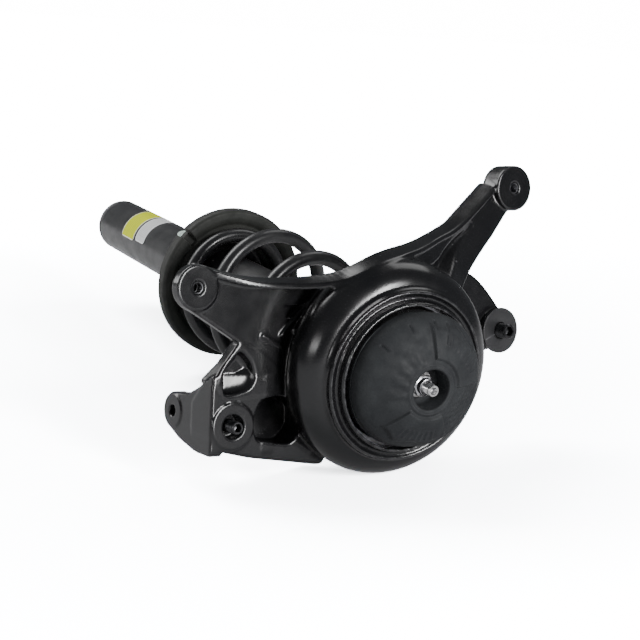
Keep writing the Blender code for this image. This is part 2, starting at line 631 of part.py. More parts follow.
def build_labels(look):
    label("yellow_label", 68.0, 98.0, 74.0, 106.5, look["yellow"])
    label("silver_label", 66.0, 94.0, 111.0, 133.5, look["silver"])
    label("round_sticker", 40.0, 42.0, 176.0, 206.0, look["green"], round_corners=True)


def main():
    clear_scene()
    look = finishes()
    build_damper(look)
    build_piston(look)
    build_spring(look)
    build_boot(look)
    build_top_mount(look)
    build_bracket(look)
    build_labels(look)
    bpy.context.view_layer.update()


main()
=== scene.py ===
"""Looks of a coil-over strut: fine surfaces, materials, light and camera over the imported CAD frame."""
import json
import math

import bmesh
import bpy
import numpy as np
from mathutils import Matrix, Vector


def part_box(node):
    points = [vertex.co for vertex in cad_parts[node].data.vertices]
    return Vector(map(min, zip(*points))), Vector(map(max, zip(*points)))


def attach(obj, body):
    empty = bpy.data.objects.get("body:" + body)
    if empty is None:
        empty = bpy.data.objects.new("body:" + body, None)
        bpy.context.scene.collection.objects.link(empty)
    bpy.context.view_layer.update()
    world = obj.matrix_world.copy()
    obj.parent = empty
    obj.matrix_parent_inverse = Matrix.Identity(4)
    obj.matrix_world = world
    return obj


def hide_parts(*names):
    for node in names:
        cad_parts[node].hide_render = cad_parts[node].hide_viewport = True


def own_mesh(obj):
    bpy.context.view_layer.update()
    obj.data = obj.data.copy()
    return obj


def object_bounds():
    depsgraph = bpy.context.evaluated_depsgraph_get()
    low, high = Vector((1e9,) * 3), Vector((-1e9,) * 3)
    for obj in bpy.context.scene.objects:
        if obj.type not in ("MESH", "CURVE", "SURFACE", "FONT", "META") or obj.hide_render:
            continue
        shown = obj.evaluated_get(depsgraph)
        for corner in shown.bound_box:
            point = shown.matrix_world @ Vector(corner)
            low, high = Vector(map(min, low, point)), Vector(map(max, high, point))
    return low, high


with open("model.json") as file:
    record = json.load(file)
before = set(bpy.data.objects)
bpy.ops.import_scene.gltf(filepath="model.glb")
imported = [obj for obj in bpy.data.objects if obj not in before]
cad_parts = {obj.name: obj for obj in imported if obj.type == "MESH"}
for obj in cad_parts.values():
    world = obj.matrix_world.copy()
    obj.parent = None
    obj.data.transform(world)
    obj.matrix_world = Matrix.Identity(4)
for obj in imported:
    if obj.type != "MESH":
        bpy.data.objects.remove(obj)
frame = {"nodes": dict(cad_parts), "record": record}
cad_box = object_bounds()
MIDDLE = (cad_box[0] + cad_box[1]) / 2.0
MM = 0.001


# ---------------------------------------------------------------- places read from the frame
def centre_of(node):
    low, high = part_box(node)
    return (low + high) / (2.0 * MM)


def top_of(node):
    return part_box(node)[1].z / MM


def bottom_of(node):
    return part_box(node)[0].z / MM


def radius_of(node):
    low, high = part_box(node)
    return (high.x - low.x) / (2.0 * MM)


def bracket_plane():
    """Height on the damper axis and tilt about Y of the plane that the body pads lie in."""
    mounts = {mount["name"]: mount for mount in frame["record"]["mounts"]}
    pad = mounts["body_pad_e"]
    normal = Vector(pad["axis"]).normalized()
    height = normal.dot(Vector(pad["pos_m"])) / normal.z / MM
    return height, math.atan2(normal.x, normal.z)


PLANE_Z, PLANE_TILT = bracket_plane()
FROM_PLANE = Matrix.Translation((0.0, 0.0, PLANE_Z)) @ Matrix.Rotation(PLANE_TILT, 4, "Y")


def in_plane(node):
    """Centre of a node in the bracket's own plane, in millimetres."""
    return FROM_PLANE.inverted() @ centre_of(node)


BOSS_B = in_plane("thread_insert_b")
BOSS_C = in_plane("stud_c")
BOSS_D = in_plane("washer_d")
BOSS_E = in_plane("thread_insert_e")
TUBE_R = radius_of("damper_tube")
TUBE_TOP = top_of("damper_tube")
SEAT_Z = bottom_of("lower_spring_pad") + 1.0
RIM_Z = 608.0
ROD_TIP = top_of("piston_rod")
THREAD_PITCH = 1.25


# ---------------------------------------------------------------- mesh helpers
def add_piece(name, mesh, finish, body, nodes):
    """Make a piece of a mesh, and give it a material, a body and the nodes it stands for."""
    piece = bpy.data.objects.new(name, mesh)
    bpy.context.scene.collection.objects.link(piece)
    mesh.materials.append(finish)
    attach(piece, body)
    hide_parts(*nodes)
    return piece


def add_mesh(name, points, faces, finish, body, nodes, sharp=35.0):
    """A clean, smooth-shaded piece from points in millimetres."""
    mesh = bpy.data.meshes.new(name)
    mesh.from_pydata(np.asarray(points, float) * MM, [], faces)
    work = bmesh.new()
    work.from_mesh(mesh)
    bmesh.ops.remove_doubles(work, verts=work.verts, dist=2e-6)
    bmesh.ops.dissolve_degenerate(work, edges=work.edges, dist=1e-6)
    bmesh.ops.recalc_face_normals(work, faces=work.faces)
    work.to_mesh(mesh)
    work.free()
    mesh.shade_smooth()
    mesh.set_sharp_from_angle(angle=math.radians(sharp))
    return add_piece(name, mesh, finish, body, nodes)


def value_at(value, angle):
    return value(angle) if callable(value) else value


def ring_faces(rows, segments, closed=False):
    """Quads between rows of points that each run once round a piece."""
    faces = []
    for row in range(rows if closed else rows - 1):
        after = (row + 1) % rows
        for step in range(segments):
            beside = (step + 1) % segments
            faces.append((row * segments + step, row * segments + beside,
                          after * segments + beside, after * segments + step))
    return faces


def spun(rows, segments, closed=False):
    """Points and quads of rows of (radius, height) round the Z axis; either may be a function of angle."""
    points = []
    for radius, height in rows:
        for step in range(segments):
            angle = 2.0 * math.pi * step / segments
            reach = value_at(radius, angle)
            points.append((reach * math.cos(angle), reach * math.sin(angle), value_at(height, angle)))
    return points, ring_faces(len(rows), segments, closed)


def softened(outline, radius, steps=4):
    """A closed outline with each corner rounded, as far as the edges beside it allow."""
    result = []
    count = len(outline)
    for index in range(count):
        before = Vector(outline[index - 1])
        here = Vector(outline[index])
        after = Vector(outline[(index + 1) % count])
        reach = min(radius, 0.45 * (here - before).length, 0.45 * (after - here).length)
        start = here + (before - here).normalized() * reach
        end = here + (after - here).normalized() * reach
        for step in range(steps + 1):
            t = step / steps
            result.append(tuple(start * (1 - t) ** 2 + here * 2 * t * (1 - t) + end * t ** 2))
    return result


def turned(name, profile, finish, body, nodes, segments=128, radius=0.6):
    """A turned ring from a closed outline of (radius, height) with softened corners."""
    points, faces = spun(softened(profile, radius), segments, closed=True)
    return add_mesh(name, points, faces, finish, body, nodes, sharp=50.0)


def hexagon(across_flats):
    """Radius of a hexagon as a function of angle."""
    def radius(angle):
        sixth = math.radians(60.0)
        within = angle % sixth - 0.5 * sixth
        return 0.5 * across_flats / math.cos(within)
    return radius


def thread_rows(radius, pitch, low, high, depth, inward=1.0):
    """Rows of a cut thread: the radius dips once a pitch and once round."""
    rows = []
    rows_per_pitch = 8
    steps = int((high - low) / pitch * rows_per_pitch)
    for step in range(steps + 1):
        height = low + (high - low) * step / steps
        fade = min(1.0, (height - low) / pitch, (high - height) / pitch)

        def reach(angle, height=height, fade=fade):
            phase = (height / pitch - angle / (2.0 * math.pi)) % 1.0
            dip = 1.0 - abs(2.0 * phase - 1.0)
            return radius - inward * depth * max(fade, 0.0) * dip
        rows.append((reach, height))
    return rows


def smooth_curve(points, per_span):
    """Catmull-Rom curve through points."""
    padded = [points[0]] + list(points) + [points[-1]]
    path = []
    for index in range(len(points) - 1):
        a, b, c, d = (Vector(padded[index + step]) for step in range(4))
        for step in range(per_span):
            t = step / per_span
            path.append(0.5 * (2 * b + (c - a) * t + (2 * a - 5 * b + 4 * c - d) * t * t
                               + (3 * b - a - 3 * c + d) * t * t * t))
    path.append(Vector(points[-1]))
    return path


def arc(centre, radius, start, end, steps):
    angles = [math.radians(start + (end - start) * step / steps) for step in range(steps + 1)]
    return [(centre[0] + radius * math.cos(a), centre[1] + radius * math.sin(a)) for a in angles]


def ease(low, high, value):
    t = np.clip((value - low) / (high - low), 0.0, 1.0)
    return t * t * (3.0 - 2.0 * t)


# ---------------------------------------------------------------- materials
class Finish:
    """A material built from object coordinates, with colour, roughness and bump of its own."""

    def __init__(self, name, roughness, metallic=0.0):
        self.material = bpy.data.materials.new(name)
        self.material.use_nodes = True
        self.tree = self.material.node_tree
        self.shader = self.tree.nodes["Principled BSDF"]
        self.shader.inputs["Roughness"].default_value = roughness
        self.shader.inputs["Metallic"].default_value = metallic
        self.place = self.node("ShaderNodeTexCoord").outputs["Object"]

    def node(self, kind, **settings):
        made = self.tree.nodes.new(kind)
        for key, value in settings.items():
            setattr(made, key, value)
        return made

    def link(self, output, socket):
        self.tree.links.new(output, socket)

    def noise(self, scale, detail=4.0, stretch=None):
        made = self.node("ShaderNodeTexNoise")
        made.inputs["Scale"].default_value = scale
        made.inputs["Detail"].default_value = detail
        place = self.place
        if stretch:
            mapping = self.node("ShaderNodeMapping")
            mapping.inputs["Scale"].default_value = stretch
            self.link(place, mapping.inputs["Vector"])
            place = mapping.outputs["Vector"]
        self.link(place, made.inputs["Vector"])
        return made.outputs["Fac"]

    def cloud(self, scale, detail, low, high, to_low, to_high):
        """Noise, spread from one range to another."""
        return self.remap(self.noise(scale, detail), low, high, to_low, to_high)

    def remap(self, value, low, high, to_low, to_high):
        made = self.node("ShaderNodeMapRange")
        made.inputs["From Min"].default_value = low
        made.inputs["From Max"].default_value = high
        made.inputs["To Min"].default_value = to_low
        made.inputs["To Max"].default_value = to_high
        self.link(value, made.inputs["Value"])
        return made.outputs["Result"]

    def math(self, operation, first, second=0.0):
        made = self.node("ShaderNodeMath", operation=operation)
        for socket, value in zip(made.inputs, (first, second)):
            if isinstance(value, (int, float)):
                socket.default_value = value
            else:
                self.link(value, socket)
        return made.outputs["Value"]

    def mix(self, share, first, second):
        made = self.node("ShaderNodeMix", data_type="RGBA")
        self.link(share, made.inputs["Factor"])
        for socket, value in ((made.inputs[6], first), (made.inputs[7], second)):
            if isinstance(value, tuple):
                socket.default_value = (*value, 1.0)
            else:
                self.link(value, socket)
        return made.outputs[2]

    def choose(self, share, first, second):
        """A mix of two shaders."""
        made = self.node("ShaderNodeMixShader")
        for socket, output in zip(made.inputs, (share, first, second)):
            self.link(output, socket)
        return made.outputs["Shader"]

    def colour(self, output):
        self.link(output, self.shader.inputs["Base Color"])

    def roughness(self, output):
        self.link(output, self.shader.inputs["Roughness"])

    def bump(self, height, depth, strength=1.0):
        made = self.node("ShaderNodeBump")
        made.inputs["Strength"].default_value = strength
        made.inputs["Distance"].default_value = depth
        self.link(height, made.inputs["Height"])
        self.link(made.outputs["Normal"], self.shader.inputs["Normal"])

    def on_tube(self, azimuth):
        """Angle in radians from an azimuth in degrees, and height in metres, on the damper tube."""
        split = self.node("ShaderNodeSeparateXYZ")
        self.link(self.place, split.inputs["Vector"])
        angle = self.math("ARCTAN2", split.outputs["Y"], split.outputs["X"])
        return self.math("SUBTRACT", angle, math.radians(azimuth)), split.outputs["Z"]

    def edges(self):
        """1 on outer edges, 0 elsewhere; used to paint edges lighter, partly as wear and partly as a painted edge
        highlight.
        """
        geometry = self.node("ShaderNodeNewGeometry")
        return self.remap(geometry.outputs["Pointiness"], 0.53, 0.6, 0.0, 1.0)


def coated(name, base, tint, roughness, spread, grain, grain_depth, coat=0.0):
    """Painted or powder-coated metal: faint mottling, a fine skin, and outer edges painted lighter, partly as wear
    and partly as a painted edge highlight.
    """
    finish = Finish(name, roughness)
    # lighter grey on outer edges, broken up by noise: partly wear, partly a painted highlight along the edges
    wear_and_edge_sheen = (0.10, 0.10, 0.105)
    skin = finish.mix(finish.cloud(38.0, 5.0, 0.35, 0.7, 0.0, 1.0), base, tint)
    scuffs_and_edge_sheen = finish.math("MULTIPLY", finish.edges(), finish.cloud(160.0, 6.0, 0.4, 0.62, 0.15, 0.9))
    finish.colour(finish.mix(scuffs_and_edge_sheen, skin, wear_and_edge_sheen))
    finish.roughness(finish.cloud(70.0, 6.0, 0.3, 0.7, roughness - spread, roughness + spread))
    finish.bump(finish.noise(grain, 3.0), grain_depth, 0.6)
    finish.shader.inputs["Coat Weight"].default_value = coat
    finish.shader.inputs["Coat Roughness"].default_value = 0.12
    return finish.material


def moulded_rubber(name, base, tint, roughness=0.62):
    """Black rubber with bloom, fine grain and dull patches."""
    finish = Finish(name, roughness)
    bloom = finish.cloud(55.0, 6.0, 0.42, 0.72, 0.0, 1.0)
    finish.colour(finish.mix(bloom, base, tint))
    finish.roughness(finish.cloud(120.0, 5.0, 0.3, 0.7, roughness - 0.12, roughness + 0.14))
    finish.bump(finish.noise(1400.0, 3.0), 0.00006, 0.8)
    finish.shader.inputs["Specular IOR Level"].default_value = 0.25
    return finish.material


def machined(name, base, tint, roughness):
    """Turned or plated steel with fine tool lines and dull stains."""
    finish = Finish(name, roughness, metallic=1.0)
    finish.colour(finish.mix(finish.cloud(220.0, 6.0, 0.38, 0.7, 0.0, 1.0), base, tint))
    lines = finish.noise(2600.0, 2.0, stretch=(0.05, 0.05, 1.0))
    finish.roughness(finish.remap(lines, 0.3, 0.7, roughness - 0.08, roughness + 0.12))
    finish.bump(lines, 0.00003, 0.5)
    return finish.material


def foam():
    finish = Finish("bump_foam", 0.9)
    cells = finish.node("ShaderNodeTexVoronoi")
    cells.inputs["Scale"].default_value = 900.0
    finish.link(finish.place, cells.inputs["Vector"])
    finish.colour(finish.mix(cells.outputs["Distance"], (0.03, 0.027, 0.022), (0.08, 0.07, 0.06)))
    finish.bump(cells.outputs["Distance"], 0.0004)
    return finish.material


def printed_film(name, ground, border, ink, azimuth, half_span, low, high, bars):
    """A sticker: pale border, coloured ground and plain printed bars, with no text."""
    finish = Finish(name, 0.42)
    angle, height = finish.on_tube(azimuth)
    off_centre = finish.math("ABSOLUTE", angle)
    rim = 0.0013
    near_side = finish.math("GREATER_THAN", off_centre, math.radians(half_span) - rim / (TUBE_R * MM))
    off_middle = finish.math("ABSOLUTE", finish.math("SUBTRACT", height, 0.5 * (low + high) * MM))
    near_end = finish.math("GREATER_THAN", off_middle, 0.5 * (high - low) * MM - rim)
    on_border = finish.math("MAXIMUM", near_side, near_end)
    inner = finish.remap(off_centre, math.radians(half_span * 0.72), math.radians(half_span * 0.76), 1.0, 0.0)
    stripes = finish.math("SINE", finish.math("MULTIPLY", height, bars))
    printed = finish.math("MULTIPLY", finish.remap(stripes, 0.55, 0.7, 0.0, 0.55), inner)
    mottle = finish.cloud(150.0, 5.0, 0.3, 0.75, 0.0, 0.35)
    worn = finish.mix(mottle, ground, tuple(0.78 * part for part in ground))
    finish.colour(finish.mix(on_border, finish.mix(printed, worn, ink), border))
    finish.roughness(finish.cloud(300.0, 4.0, 0.3, 0.7, 0.34, 0.52))
    finish.bump(finish.noise(500.0, 3.0), 0.00004, 0.6)
    finish.shader.inputs["Specular IOR Level"].default_value = 0.15
    return finish.material


def ringed_film(name, ground, ring, azimuth, height, radius):
    """A round sticker with a thin printed ring."""
    finish = Finish(name, 0.45)
    angle, level = finish.on_tube(azimuth)
    across = finish.math("MULTIPLY", angle, TUBE_R * MM)
    up = finish.math("SUBTRACT", level, height * MM)
    squares = [finish.math("MULTIPLY", side, side) for side in (across, up)]
    reach = finish.math("SQRT", finish.math("ADD", *squares))
    off_ring = finish.math("ABSOLUTE", finish.math("SUBTRACT", reach, radius * 0.74 * MM))
    thin_ring = finish.remap(off_ring, 0.0004, 0.0007, 0.8, 0.0)
    rows = finish.math("SINE", finish.math("MULTIPLY", across, 3400.0))
    middle = finish.remap(reach, radius * 0.5 * MM, radius * 0.55 * MM, 0.5, 0.0)
    print_rows = finish.math("MULTIPLY", finish.remap(rows, 0.3, 0.5, 0.0, 1.0), middle)
    on_ring = finish.math("MAXIMUM", thin_ring, print_rows)
    paper = finish.mix(finish.cloud(180.0, 5.0, 0.3, 0.7, 0.0, 0.4), ground, tuple(0.8 * part for part in ground))
    finish.colour(finish.mix(on_ring, paper, ring))
    finish.bump(finish.noise(700.0, 3.0), 0.00004, 0.6)
    return finish.material


PAINT = coated("cast_gloss_black", (0.0035, 0.0036, 0.0042), (0.0055, 0.0055, 0.006), 0.22, 0.04, 600.0, 0.000012)
TUBE_PAINT = coated("satin_black", (0.010, 0.010, 0.011), (0.016, 0.016, 0.017), 0.36, 0.06, 900.0, 0.00004, 0.1)
COIL_COAT = coated("coil_powder_coat", (0.009, 0.009, 0.010), (0.015, 0.015, 0.016), 0.33, 0.07, 1300.0, 0.00008, 0.1)
PAD_RUBBER = moulded_rubber("pad_rubber", (0.018, 0.019, 0.017), (0.029, 0.030, 0.027), 0.6)
MOUNT_RUBBER = moulded_rubber("mount_rubber", (0.010, 0.011, 0.0125), (0.016, 0.0175, 0.019), 0.7)
BOOT_RUBBER = moulded_rubber("boot_rubber", (0.012, 0.012, 0.012), (0.02, 0.02, 0.02), 0.55)
STEEL = machined("bright_steel", (0.66, 0.66, 0.67), (0.42, 0.41, 0.4), 0.24)
ZINC = machined("dark_zinc", (0.32, 0.32, 0.34), (0.16, 0.16, 0.17), 0.34)
NUT_STEEL = machined("nut_steel", (0.5, 0.5, 0.52), (0.3, 0.3, 0.31), 0.2)
INSERT_STEEL = machined("insert_steel", (0.14, 0.14, 0.15), (0.07, 0.07, 0.075), 0.3)
BLACK_STUD = machined("blackened_steel", (0.06, 0.06, 0.063), (0.03, 0.03, 0.032), 0.3)
FOAM = foam()
BAND = coated("ptfe_band", (0.09, 0.11, 0.09), (0.12, 0.13, 0.11), 0.5, 0.05, 900.0, 0.00003)


# ---------------------------------------------------------------- the cast bracket as a distance field
class Field:
    """Signed distances on a grid in the bracket's own plane, in millimetres; negative is metal."""

    def __init__(self, low, high, step):
        self.low = np.array(low, float)
        self.step = step
        counts = np.ceil((np.array(high) - self.low) / step).astype(int) + 1
        self.axes = [self.low[axis] + step * np.arange(counts[axis]) for axis in range(3)]
        self.value = np.full(counts, 40.0, np.float32)

    def region(self, low, high):
        cuts = []
        for axis in range(3):
            line = self.axes[axis]
            first = int(np.searchsorted(line, low[axis]))
            last = int(np.searchsorted(line, high[axis]))
            cuts.append(slice(first, last))
        x = self.axes[0][cuts[0]][:, None, None]
        y = self.axes[1][cuts[1]][None, :, None]
        z = self.axes[2][cuts[2]][None, None, :]
        return tuple(cuts), x, y, z

    def add(self, low, high, shape, fillet):
        cuts, x, y, z = self.region(low, high)
        self.value[cuts] = blend(self.value[cuts], shape(x, y, z), fillet)

    def cut(self, low, high, shape, fillet):
        cuts, x, y, z = self.region(low, high)
        self.value[cuts] = -blend(-self.value[cuts], shape(x, y, z), fillet)

    def surface(self):
        """Vertices and quads of the zero level, one vertex for each cell that it crosses."""
        inside = self.value < 0.0
        count = np.zeros([size - 1 for size in inside.shape], np.int8)
        for corner in np.ndindex(2, 2, 2):
            count += inside[tuple(slice(c, c + n) for c, n in zip(corner, count.shape))]
        active = (count > 0) & (count < 8)
        index = np.full(active.shape, -1, np.int64)
        total = int(active.sum())
        index[active] = np.arange(total)
        sums = np.zeros((total, 3))
        hits = np.zeros(total)
        quads = []
        for axis in range(3):
            others = [other for other in range(3) if other != axis]
            value = np.moveaxis(self.value, axis, 0)
            crossed = (value[1:] < 0.0) != (value[:-1] < 0.0)
            i, b, c = np.nonzero(crossed[:, 1:-1, 1:-1])
            b = b + 1
            c = c + 1
            first = value[i, b, c].astype(float)
            second = value[i + 1, b, c].astype(float)
            point = np.zeros((len(i), 3))
            point[:, axis] = i + first / (first - second)
            point[:, others[0]] = b
            point[:, others[1]] = c
            ring = []
            for step_b, step_c in ((-1, -1), (0, -1), (0, 0), (-1, 0)):
                cell = [None] * 3
                cell[axis] = i
                cell[others[0]] = b + step_b
                cell[others[1]] = c + step_c
                found = index[tuple(cell)]
                for part in range(3):
                    sums[:, part] += np.bincount(found, weights=point[:, part], minlength=total)
                hits += np.bincount(found, minlength=total)
                ring.append(found)
            quad = np.stack(ring, axis=1)
            backward = (first < 0.0) if axis == 1 else (first >= 0.0)
            quad[backward] = quad[backward][:, ::-1]
            quads.append(quad)
        places = sums / hits[:, None]
        for _ in range(3):
            places += np.clip(self.miss(places), -0.3, 0.3)
        return self.low + self.step * places, np.concatenate(quads)

    def sample(self, places):
        """Distances between grid points, for places counted in steps."""
        limit = np.array(self.value.shape) - 1.001
        places = np.clip(places, 0.0, limit)
        cell = places.astype(int)
        part = places - cell
        total = np.zeros(len(places))
        for corner in np.ndindex(2, 2, 2):
            share = np.prod(np.where(np.array(corner), part, 1.0 - part), axis=1)
            total += share * self.value[tuple((cell + corner).T)]
        return total

    def miss(self, places):
        """Move that brings places onto the surface, in steps."""
        slope = np.stack([self.sample(places + 0.5 * axis) - self.sample(places - 0.5 * axis)
                          for axis in np.eye(3)], axis=1)
        return -0.7 * self.sample(places)[:, None] * slope / np.maximum((slope ** 2).sum(axis=1), 0.04)[:, None]


def blend(a, b, k):
    """Union of two distances with a fillet of about k."""
    if k <= 0.0:
        return np.minimum(a, b)
    share = np.clip(0.5 + 0.5 * (b - a) / k, 0.0, 1.0)
    return b + (a - b) * share - k * share * (1.0 - share)


def blend_high(a, b, k):
    """Intersection of two distances with a fillet of about k."""
    return -blend(-a, -b, k)


def plan_distance(x, y, outline):
    """Signed distance to a closed outline; negative inside."""
    nearest = np.full(np.broadcast(x, y).shape, 1e9)
    inside = np.zeros(nearest.shape, bool)
    count = len(outline)
    for index in range(count):
        ax, ay = outline[index][0], outline[index][1]
        bx, by = outline[(index + 1) % count][0], outline[(index + 1) % count][1]
        ex, ey = bx - ax, by - ay
        share = np.clip(((x - ax) * ex + (y - ay) * ey) / max(ex * ex + ey * ey, 1e-9), 0.0, 1.0)
        nearest = np.minimum(nearest, (x - ax - share * ex) ** 2 + (y - ay - share * ey) ** 2)
        if ay != by:
            inside ^= ((ay > y) != (by > y)) & (x < ex * (y - ay) / ey + ax)
    return np.where(inside, -1.0, 1.0) * np.sqrt(nearest)


def slab(plan, z, low, high, edge=1.2):
    """Distance to an upright slab with rounded edges over a plan distance."""
    a = plan + edge
    b = np.abs(z - 0.5 * (low + high)) - 0.5 * (high - low) + edge
    return np.minimum(np.maximum(a, b), 0.0) + np.hypot(np.maximum(a, 0.0), np.maximum(b, 0.0)) - edge


def along(x, y, path):
    """Signed sideways distance to a path in plan, and the path's height beside the point."""
    shape = np.broadcast(x, y).shape
    best = np.full(shape, 1e9)
    side = np.zeros(shape)
    height = np.zeros(shape)
    for a, b in zip(path, path[1:]):
        ex, ey = b[0] - a[0], b[1] - a[1]
        share = np.clip(((x - a[0]) * ex + (y - a[1]) * ey) / (ex * ex + ey * ey), 0.0, 1.0)
        far = (x - a[0] - share * ex) ** 2 + (y - a[1] - share * ey) ** 2
        closer = far < best
        turn = np.sign(ex * (y - a[1]) - ey * (x - a[0]))
        best = np.where(closer, far, best)
        side = np.where(closer, turn * np.sqrt(far), side)
        height = np.where(closer, a[2] + share * (b[2] - a[2]), height)
    return side, height


# Upper edges of the long flange and of the short rib, and plans in the bracket's plane
FLANGE = smooth_curve([(-20.0, 170.0, -1.5), (-9.0, 134.0, 4.0), (5.0, 107.0, 16.0), (26.0, 80.0, 37.0),
                       (56.0, 58.0, 42.0), (85.0, 28.0, 31.0), (108.0, 7.0, 18.0), (134.0, -13.0, 9.0),
                       (190.0, -38.0, -4.0)], 8)
RIB = smooth_curve([(74.0, -33.0, 26.0), (98.0, -42.0, 12.0), (119.0, -48.5, 4.0), (149.0, -56.5, -1.0),
                    (190.0, -64.0, -5.0)], 8)
PLATE = [(-51.5, 170.0), (-51.0, 137.0), (-51.0, 111.0), (-75.0, 115.0), (-87.0, 112.0), (-95.0, 90.0),
         (-90.0, 10.0), (0.0, -20.0), (52.0, 50.0), (24.0, 78.0), (3.0, 105.5), (-11.0, 133.0), (-21.0, 170.0)]
BLOCK = [(-87.0, 116.6), (-123.0, 95.8), (-127.5, 84.0), (-119.0, 57.0), (-93.0, -6.0), (-60.0, 0.0),
         (-58.0, 60.0), (-66.0, 92.0)]
POCKET_BED = [(-87.0, 116.6), (-92.0, 98.0), (-62.0, 56.0), (-50.0, 62.0), (-46.0, 92.0), (-49.5, 113.0),
              (-70.0, 115.8)]
GLOSSY_POCKET = [(-55.0, 108.0), (-58.0, 96.0), (-66.0, 86.5), (-75.0, 86.5), (-85.0, 96.5), (-89.5, 103.5),
                 (-83.0, 107.6), (-76.5, 112.0), (-66.0, 111.0)]
DARK_POCKET = [(-76.0, 72.0), (-66.0, 60.0), (-63.5, 37.0), (-78.0, 27.5), (-93.0, 30.5), (-98.5, 42.0),
               (-105.0, 60.0), (-96.0, 68.5), (-86.0, 72.5)]
DOME_POCKET = [(-7.0, 93.5), (3.0, 78.0), (-10.8, 81.8), (-14.0, 87.0)]
DOME_RIBS = [((4.0, 76.0), (-27.0, 84.0)), ((2.9, 71.8), (-18.0, 76.0)), ((-12.9, 73.0), (-30.6, 70.0)),
             ((-36.0, 98.0), (-35.0, 80.0))]
SIDE_ARM = [(52.0, -28.0), (104.0, -40.0), (113.5, -56.0), (112.0, -76.0), (104.5, -104.0), (96.0, -116.0),
            (80.0, -119.0), (69.0, -110.0), (36.0, -76.0)]
ARM = [(60.0, 52.0), (87.0, 26.0), (110.0, 5.0), (136.0, -15.0), (192.0, -39.0), (192.0, -63.0), (149.0, -55.5),
       (119.0, -47.5), (98.0, -41.0), (60.0, -28.0)]
ARM_CHANNEL = [(66.0, 4.0, 0.0), (92.0, -10.0, 0.0), (118.0, -19.0, 0.0), (142.0, -28.5, 0.0)]
EAR_AZIMUTH = 120.0
EAR_CENTRE = (-110.7, 102.9, -58.0)
EAR_GAP = 34.0
EAR_THICKNESS = 11.0
BLOCK_BOTTOM = -30.0


def thin_rib(start, end):
    """Distance to a low rib with a rounded crest, straight in plan."""
    def distance(x, y, z):
        side = along(x, y, [(*start, 0.0), (*end, 0.0)])[0]
        return np.hypot(side, (z + 2.2) * 0.8) - 2.0
    return distance


def beside_ear(x, y):
    """Distance behind the outer ear's face, and sideways from the ear's axis."""
    azimuth = math.radians(EAR_AZIMUTH)
    east, north = x - EAR_CENTRE[0], y - EAR_CENTRE[1]
    back = -(east * math.cos(azimuth) + north * math.sin(azimuth))
    return back, east * math.sin(azimuth) - north * math.cos(azimuth)


def ear_shape(shift, thickness):
    """Distance to a hanging ear; its outline lies in the plane square to the ear's axis."""
    outline = softened([(-28.0, -1.5), (34.0, -1.5), (22.5, -22.0), (15.5, -38.0),
                        *arc((0.0, EAR_CENTRE[2]), 14.6, 10.0, -160.0, 14), (-21.0, -47.0), (-27.0, -24.0)], 4.0)

    def distance(x, y, z):
        back, across = beside_ear(x, y)
        return slab(plan_distance(across, z, outline), back, shift, shift + thickness, 1.4)
    return distance


def ear_drum(radius, near, far, edge):
    """Distance to a cylinder on the ear's axis, between two distances behind its outer face."""
    def distance(x, y, z):
        back, across = beside_ear(x, y)
        return slab(np.hypot(across, z - EAR_CENTRE[2]) - radius, back, near, far, edge)
    return distance


def drum(centre, radius, low, high, edge=1.0):
    """Distance to an upright cylinder."""
    def distance(x, y, z):
        return slab(np.hypot(x - centre[0], y - centre[1]) - radius, z, low, high, edge)
    return distance


def plan_slab(outline, low, high, edge=1.2, corner=3.0):
    """Distance to an upright slab over an outline with rounded corners."""
    smooth = softened(outline, corner)

    def distance(x, y, z):
        return slab(plan_distance(x, y, smooth), z, low, high, edge)
    return distance


def rail_shape(path, inner, outer, flare, depth):
    """Distance to a thin wall under a path, leaning outward as it goes down."""
    def distance(x, y, z):
        side, height = along(x, y, path)
        under = height - z
        lean = (flare + 0.09 * np.clip(height, 0.0, 40.0)) * np.clip(under / depth, -0.2, 1.2)
        across = np.abs(side - 0.5 * (outer + inner) - lean) - 0.5 * (outer - inner)
        return slab(across, under, 0.0, depth, 1.0)
    return distance


def channel_depth(x):
    """How far the channel sinks below the arm's floor, deepest beside the dome."""
    return 12.5 * np.clip((144.0 - x) / 60.0, 0.0, 1.0)


def arm_top(x, y):
    """Height of the front arm's floor between the flange and the rib."""
    flange_side, flange_height = along(x, y, FLANGE)
    rib_side, rib_height = along(x, y, RIB)
    share = np.abs(flange_side) / (np.abs(flange_side) + np.abs(rib_side) + 1e-6)
    share = np.clip(share * 1.7, 0.0, 1.0)
    return (flange_height - 5.0) * (1.0 - share) + (rib_height - 0.5) * share


def arm_shape(x, y, z):
    """Distance to the front arm, which has the same thickness all along."""
    return slab(plan_distance(x, y, softened(ARM, 4.0)), z - arm_top(x, y), -21.0, 0.0, 1.2)


def channel_shape(x, y, z):
    """Distance to the channel in the arm's floor, narrower and shallower towards pad E."""
    side = along(x, y, ARM_CHANNEL)[0]
    reach = 2.5 + 8.0 * np.clip((140.0 - x) / 60.0, 0.0, 1.0)
    bowl = np.abs(side) / reach
    floor = arm_top(x, y) - channel_depth(x) * (1.0 - np.clip(bowl, 0.0, 1.0) ** 1.2)
    return np.maximum(np.abs(side) - reach, (floor - z) * 0.75)


def bed_bottom(x):
    """Underside of the metal below the upper pocket, which rises away from the ears."""
    return -13.0 - 9.0 * np.clip((-70.0 - x) / 18.0, 0.0, 1.0)


def pocket_bed(x, y, z):
    """Distance to the metal round and under the upper pocket."""
    return slab(plan_distance(x, y, softened(POCKET_BED, 3.0)), z, bed_bottom(x), -1.5, 1.4)


def block_shape(x, y, z):
    """The deep block under pad C, whose underside rises towards the plate beside the ear."""
    near_ear = np.clip((y - 80.0) / 25.0, 0.0, 1.0)
    low = BLOCK_BOTTOM + 16.0 * near_ear * np.clip((x + 102.0) / 15.0, 0.0, 1.0)
    return slab(plan_distance(x, y, softened(BLOCK, 6.0)), z, low, -1.5, 1.6)


